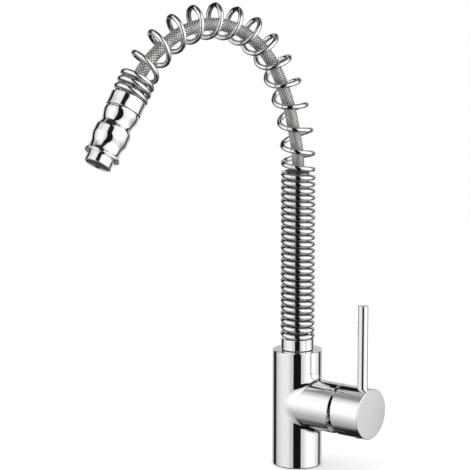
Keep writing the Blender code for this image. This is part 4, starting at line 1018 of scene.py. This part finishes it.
def aerator():
    """Screwed ring and the fine screen in its mouth."""
    shown("aerator_ring", turned(rounded(below(AERATOR_RING)), DOCK), "chrome", "handset",
          "aerator_housing")
    high, low = -SCREEN_TOP, -SCREEN_FOOT
    bm = bmesh.new()
    reach = SCREEN_PITCH / math.sqrt(3)
    for row in range(-6, 7):
        for column in range(-8, 9):
            middle = SCREEN_PITCH * Vector((column + row / 2, row * math.sqrt(0.75)))
            if middle.length > SCREEN_REACH:
                continue
            for j in range(6):
                ends = [math.pi * (2 * k + 1) / 6 for k in (j, j + 1)]
                at = [[(middle.x + size * math.cos(end), middle.y + size * math.sin(end))
                       for end in ends] for size in (reach, SCREEN_HOLE)]
                (a, b), (c, d) = at
                for quad in ([(*a, low), (*c, low), (*d, low), (*b, low)],
                             [(*a, high), (*b, high), (*d, high), (*c, high)],
                             [(*c, low), (*c, high), (*d, high), (*d, low)]):
                    bm.faces.new([bm.verts.new(DOCK @ Vector(point)) for point in quad])
    bmesh.ops.remove_doubles(bm, verts=bm.verts, dist=MERGE)
    rim = turned(rounded([(SCREEN_RADIUS, high), (SCREEN_RADIUS, low, SCREEN_RIM),
                          (SCREEN_EDGE, low), (SCREEN_EDGE, high)]), DOCK, FINE_SIDES)
    bm.from_mesh(rim)
    bpy.data.meshes.remove(rim)
    mesh = bpy.data.meshes.new("screen")
    bm.to_mesh(mesh)
    bm.free()
    mesh.shade_flat()
    shown("aerator_screen", mesh, "mesh_steel", "handset", "aerator_mesh")


# Lever


def dome():
    """Domed trim ring in the gap between branch and cap."""
    foot = NUT_FACE + GAP - PIVOT
    inner = DOME_RADIUS - DOME_WALL
    outline = arc((0, PIVOT), DOME_RADIUS, math.acos(DOME_OPENING / DOME_RADIUS),
                  math.asin(foot / DOME_RADIUS), DOME_STEPS)
    outline += arc((0, PIVOT), inner, math.asin(foot / inner), math.acos(DOME_OPENING / inner),
                   DOME_STEPS)
    shown("dome_skin", turned(outline, LEVER), "chrome", "base", "cartridge_dome")


def cap_warp(point):
    """Foot of the cap cut at a slant."""
    foot = CAP_FOOT - PIVOT
    share = max(0, 1 - (point.z - foot) / SLANT_RUN)
    return point + Vector((0, 0, share * point.x * math.tan(CAP_SLANT)))


def cap():
    """Cup with a hole for the rod and one for the plug, mirror-smooth round its skin."""
    foot, end = CAP_FOOT - PIVOT, CAP_END - PIVOT
    inner = BODY_RADIUS - CAP_WALL
    ceiling = DOME_RADIUS + DOME_ROOM
    crown = [(BODY_RADIUS * share, end - CROWN * share * share) for share in CROWN_SHARES]
    outline = crown + [(BODY_RADIUS, end - CROWN, CAP_RIM), (BODY_RADIUS, foot, CAP_FOOT_RIM),
                       (inner, foot, FINE_RIM), (inner, ceiling), (0, ceiling)]
    item = placed("cap", turned(rounded(outline), TILT, CAP_SIDES, cap_warp))
    cutters = []
    for radius, low, turn, along in ((ROD_RADIUS + GAP, ROD_SEAT, -QUARTER, ROD_AT),
                                     (PLUG_RADIUS + GAP, PLUG_SEAT, QUARTER, PLUG_AT)):
        mesh = turned([(0, HOLE_END), (radius, HOLE_END), (radius, low), (0, low)],
                      upright(along, turn), FINE_SIDES)
        cutter = placed("cutter", mesh)
        boolean = item.modifiers.new("hole", "BOOLEAN")
        boolean.solver = "EXACT"
        boolean.object = cutter
        cutters.append(cutter)
    bpy.context.view_layer.update()
    drilled = item.evaluated_get(bpy.context.evaluated_depsgraph_get())
    mesh = bpy.data.meshes.new_from_object(drilled)
    for thing in [item] + cutters:
        bpy.data.objects.remove(thing)
    mirror_round(mesh, end)
    shown("cap_skin", mesh, "chrome", "lever", "lever_cap")


def upright(along, turn):
    """Frame at a place on the lever's axis, its Z turned to point up or down at rest."""
    return TILT @ Matrix.Translation((0, 0, along)) @ Matrix.Rotation(turn, 4, "Y")


def mirror_round(mesh, end):
    """Exact normals on the cap's skin, rounded edge and crown, averaged ones elsewhere."""
    shoulder, rim = end - CROWN - CAP_RIM, BODY_RADIUS - CAP_RIM
    inward = TILT.inverted()
    turn = TILT.to_3x3()
    back = turn.inverted()
    mesh.shade_smooth()
    mesh.set_sharp_from_angle(angle=SMOOTH_ANGLE)
    eased_normals = [corner.vector.copy() for corner in mesh.corner_normals]
    normals = []
    for polygon in mesh.polygons:
        flat = back @ polygon.normal
        for spot, corner in zip(polygon.vertices, polygon.loop_indices):
            point = inward @ mesh.vertices[spot].co
            radial = Vector((point.x, point.y, 0)).normalized()
            normal = back @ eased_normals[corner]
            if flat.z > DISC_FACING and point.z > end - CROWN - CROWN_ROOM:
                normal = Vector((point.x, point.y, BODY_RADIUS ** 2 / CROWN / 2)).normalized()
            if point.xy.length > rim and flat.dot(radial) > SKIN_FACING:
                normal = radial
                over = point.z - shoulder
                if over > MERGE:
                    reach = point.xy.length - rim
                    normal = (radial * reach + Vector((0, 0, over))).normalized()
                elif flat.dot(radial) < SQUARE_FACING:
                    normal = back @ eased_normals[corner]
            normals.append(turn @ normal)
    mesh.shade_smooth()
    mesh.normals_split_custom_set(normals)


def rod_and_plug():
    """Pin lever, and the small plug under the cap."""
    seat = ROD_SEAT + GAP
    outline = [(0, ROD_RISE), (ROD_RADIUS, ROD_RISE, ROD_RIM), (ROD_RADIUS, seat, FINE_RIM),
               (0, seat)]
    shown("rod_skin", turned(rounded(outline), upright(ROD_AT, -QUARTER), FINE_SIDES), "chrome",
          "lever", "lever_rod")
    seat = PLUG_SEAT + GAP
    outline = [(0, PLUG_END), (PLUG_RADIUS, PLUG_END, PLUG_RIM), (PLUG_RADIUS, seat), (0, seat)]
    shown("plug_skin", turned(rounded(outline), upright(PLUG_AT, QUARTER), PLUG_SIDES),
          "grey_plastic", "lever", "index_plug")


# Light, floor and camera

# Camera by the fit of the photograph's outlines: round from the sink side, down and rolled,
# with its place to the right, up and back
VIEW = math.radians(38.34)
DOWN = math.radians(9.21)
ROLL = math.radians(0.08)
CAMERA_PLACE = (-0.06243, 0.22867, 1.8225)
CAMERA_LENS = 138.75
CAMERA_NEAR = 0.05


def camera():
    """Where the photograph was taken from."""
    flat = Vector((math.sin(VIEW), -math.cos(VIEW), 0))
    right = Vector((math.cos(VIEW), math.sin(VIEW), 0))
    back = flat * math.cos(DOWN) + Vector((0, 0, math.sin(DOWN)))
    up = Vector((0, 0, math.cos(DOWN))) - flat * math.sin(DOWN)
    right, up = (right * math.cos(ROLL) - up * math.sin(ROLL),
                 up * math.cos(ROLL) + right * math.sin(ROLL))
    place = right * CAMERA_PLACE[0] + up * CAMERA_PLACE[1] + back * CAMERA_PLACE[2]
    data = bpy.data.cameras.new("camera")
    data.lens = CAMERA_LENS
    data.clip_start = CAMERA_NEAR
    item = placed("camera", data)
    item.matrix_world = (Matrix.Translation(place)
                         @ Matrix((right, up, back)).transposed().to_4x4())
    bpy.context.scene.camera = item


# Brightness round the tap, by the angle to the right of the camera's side, low down and high up
ROUND = ((-180, 0.62), (-156, 0.68), (-143, 0.5), (-140, 0.01), (-118, 0.01), (-115, 0.4),
         (-109, 0.58), (-98, 0.76), (-70, 0.95), (-45, 0.94), (-33, 0.72), (-27, 0.63),
         (-22, 0.75), (-19.5, 0.008), (14, 0.008), (16.5, 0.95), (19, 0.7), (30, 0.9),
         (45, 1.2), (60, 1.3), (84, 1.1), (97, 0.9), (103, 0.83), (109, 0.7), (112.5, 0.5),
         (114, 0.02), (125.5, 0.02), (128, 0.4), (140, 0.6), (160, 1.0), (180, 0.62))
HIGH_ROUND = ((-180, 1.0), (-24, 1.0), (-18, 0.02), (12, 0.02), (18, 1.0), (60, 1.1),
              (180, 1.0))
# By height, on the camera's side, beside and behind
FRONT_RISE = ((-90, 0.01), (-62, 0.02), (-50, 0.3), (-38, 0.6), (-22, 0.87), (-15, 1.03),
              (0, 1.3), (35, 1.3), (50, 1.0), (60, 0.8), (66, 0.2), (72, 0.03), (90, 0.03))
SIDE_RISE = ((-90, 0.01), (-57, 0.02), (-54, 0.14), (-51, 0.27), (-45, 0.49), (-38, 0.59),
             (-30, 0.7), (-22, 0.87), (-15, 1.04), (-2, 1.3), (34, 1.3), (38, 1.1),
             (41, 0.97), (44, 0.8), (47, 0.66), (50, 0.43), (52, 0.32), (62, 0.3),
             (68, 0.03), (90, 0.03))
BACK_RISE = ((-90, 0.01), (-42, 0.02), (-34, 0.2), (-20, 0.9), (-15, 1.0), (26, 0.9),
             (28.5, 0.7), (30.5, 0.01), (49.5, 0.01), (51.5, 0.6), (54, 0.6), (58, 0.3),
             (64, 0.03), (90, 0.03))


# Where one set takes over from the next: by steepness, and by angle from the camera's side
STEEP = (0.6, 0.75)
BESIDE = (70, 88)
BEHIND = (115, 140)

FLOOR_RADIUS = 1.6
FLOOR_TOP = -0.0002
FLOOR_FOOT = -0.0006
FLOOR_GLOW = 0.22
LAMP_SIZE = (1.2, 1.0)
LAMP_POWER = 5
LAMP_PLACE = (-0.9, -1.1, 1.5)
LAMP_AIM = (0, -0.05, 0.2)


def ramp(tree, source, stops, low, high):
    """Brightness along a range of angles."""
    share = spread(tree, source, 0, 1, math.radians(low), math.radians(high))
    return tint(tree, share, [((place - low) / (high - low), (value, value, value))
                              for place, value in stops])


def maths(tree, operation, first, second=None):
    """One or two values through a maths node."""
    node = added(tree, "Math")
    node.operation = operation
    tree.links.new(first, node.inputs[0])
    if second:
        tree.links.new(second, node.inputs[1])
    return node.outputs["Value"]


def studio():
    """White to look at and to light by, and a studio's bands for the plating to mirror."""
    world = bpy.data.worlds.new("studio")
    bpy.context.scene.world = world
    world.use_nodes = True
    tree = world.node_tree
    tree.nodes.clear()
    where = added(tree, "TexCoord")
    turned_to = added(tree, "Mapping")
    turned_to.inputs["Rotation"].default_value = (0, 0, QUARTER - VIEW)
    tree.links.new(where.outputs["Generated"], turned_to.inputs["Vector"])
    parts = added(tree, "SeparateXYZ")
    tree.links.new(turned_to.outputs["Vector"], parts.inputs["Vector"])
    x, y, z = parts.outputs
    around = maths(tree, "ARCTAN2", y, x)
    rise = maths(tree, "ARCSINE", z)
    steep = spread(tree, maths(tree, "ABSOLUTE", z), 0, 1, *STEEP)
    away = maths(tree, "ABSOLUTE", around)
    beside = spread(tree, away, 0, 1, *map(math.radians, BESIDE))
    behind = spread(tree, away, 0, 1, *map(math.radians, BEHIND))
    sides = blended(tree, "MIX", steep, ramp(tree, around, ROUND, -180, 180),
                    ramp(tree, around, HIGH_ROUND, -180, 180))
    heights = blended(tree, "MIX", beside, ramp(tree, rise, FRONT_RISE, -90, 90),
                      ramp(tree, rise, SIDE_RISE, -90, 90))
    heights = blended(tree, "MIX", behind, heights, ramp(tree, rise, BACK_RISE, -90, 90))
    bands = added(tree, "Background")
    tree.links.new(blended(tree, "MULTIPLY", None, sides, heights), bands.inputs["Color"])
    plain = added(tree, "Background")
    plain.inputs["Color"].default_value = (1, 1, 1, 1)
    path = added(tree, "LightPath")
    either = added(tree, "MixShader")
    tree.links.new(path.outputs["Is Glossy Ray"], either.inputs["Fac"])
    tree.links.new(plain.outputs["Background"], either.inputs[1])
    tree.links.new(bands.outputs["Background"], either.inputs[2])
    out = added(tree, "OutputWorld")
    tree.links.new(either.outputs["Shader"], out.inputs["Surface"])


def floor():
    """Pale worktop round the foot, with a hole for the shank, that keeps a soft shadow."""
    made, tree, shader = material("pale_floor")
    shader.inputs["Base Color"].default_value = (0.9, 0.9, 0.9, 1)
    shader.inputs["Specular IOR Level"].default_value = 0
    shader.inputs["Emission Color"].default_value = (1, 1, 1, 1)
    shader.inputs["Emission Strength"].default_value = FLOOR_GLOW
    tree.links.new(spread(tree, noise(tree, 20), 0.85, 0.95), shader.inputs["Roughness"])
    hole = SHANK_RADIUS + GAP
    mesh = turned([(FLOOR_RADIUS, FLOOR_TOP), (FLOOR_RADIUS, FLOOR_FOOT), (hole, FLOOR_FOOT),
                   (hole, FLOOR_TOP)], WORLD, FINE_SIDES)
    mesh.materials.append(made)
    item = placed("floor", mesh)
    item.visible_glossy = False


def lamp():
    """Large soft light from above and to the camera's left, for what isn't plated."""
    data = bpy.data.lights.new("softbox", "AREA")
    data.shape = "RECTANGLE"
    data.size, data.size_y = LAMP_SIZE
    data.energy = LAMP_POWER
    item = placed("softbox", data)
    item.location = LAMP_PLACE
    aim = Vector(LAMP_AIM) - item.location
    item.rotation_euler = aim.to_track_quat("-Z", "Y").to_euler()
    item.visible_glossy = False


finish_nodes()
body()
clamp()
ferrule()
riser()
spring()
hose()
collar()
handset()
aerator()
dome()
cap()
rod_and_plug()
floor()
lamp()
studio()
camera()

bpy.context.scene.view_settings.view_transform = "Standard"
bpy.context.view_layer.update()
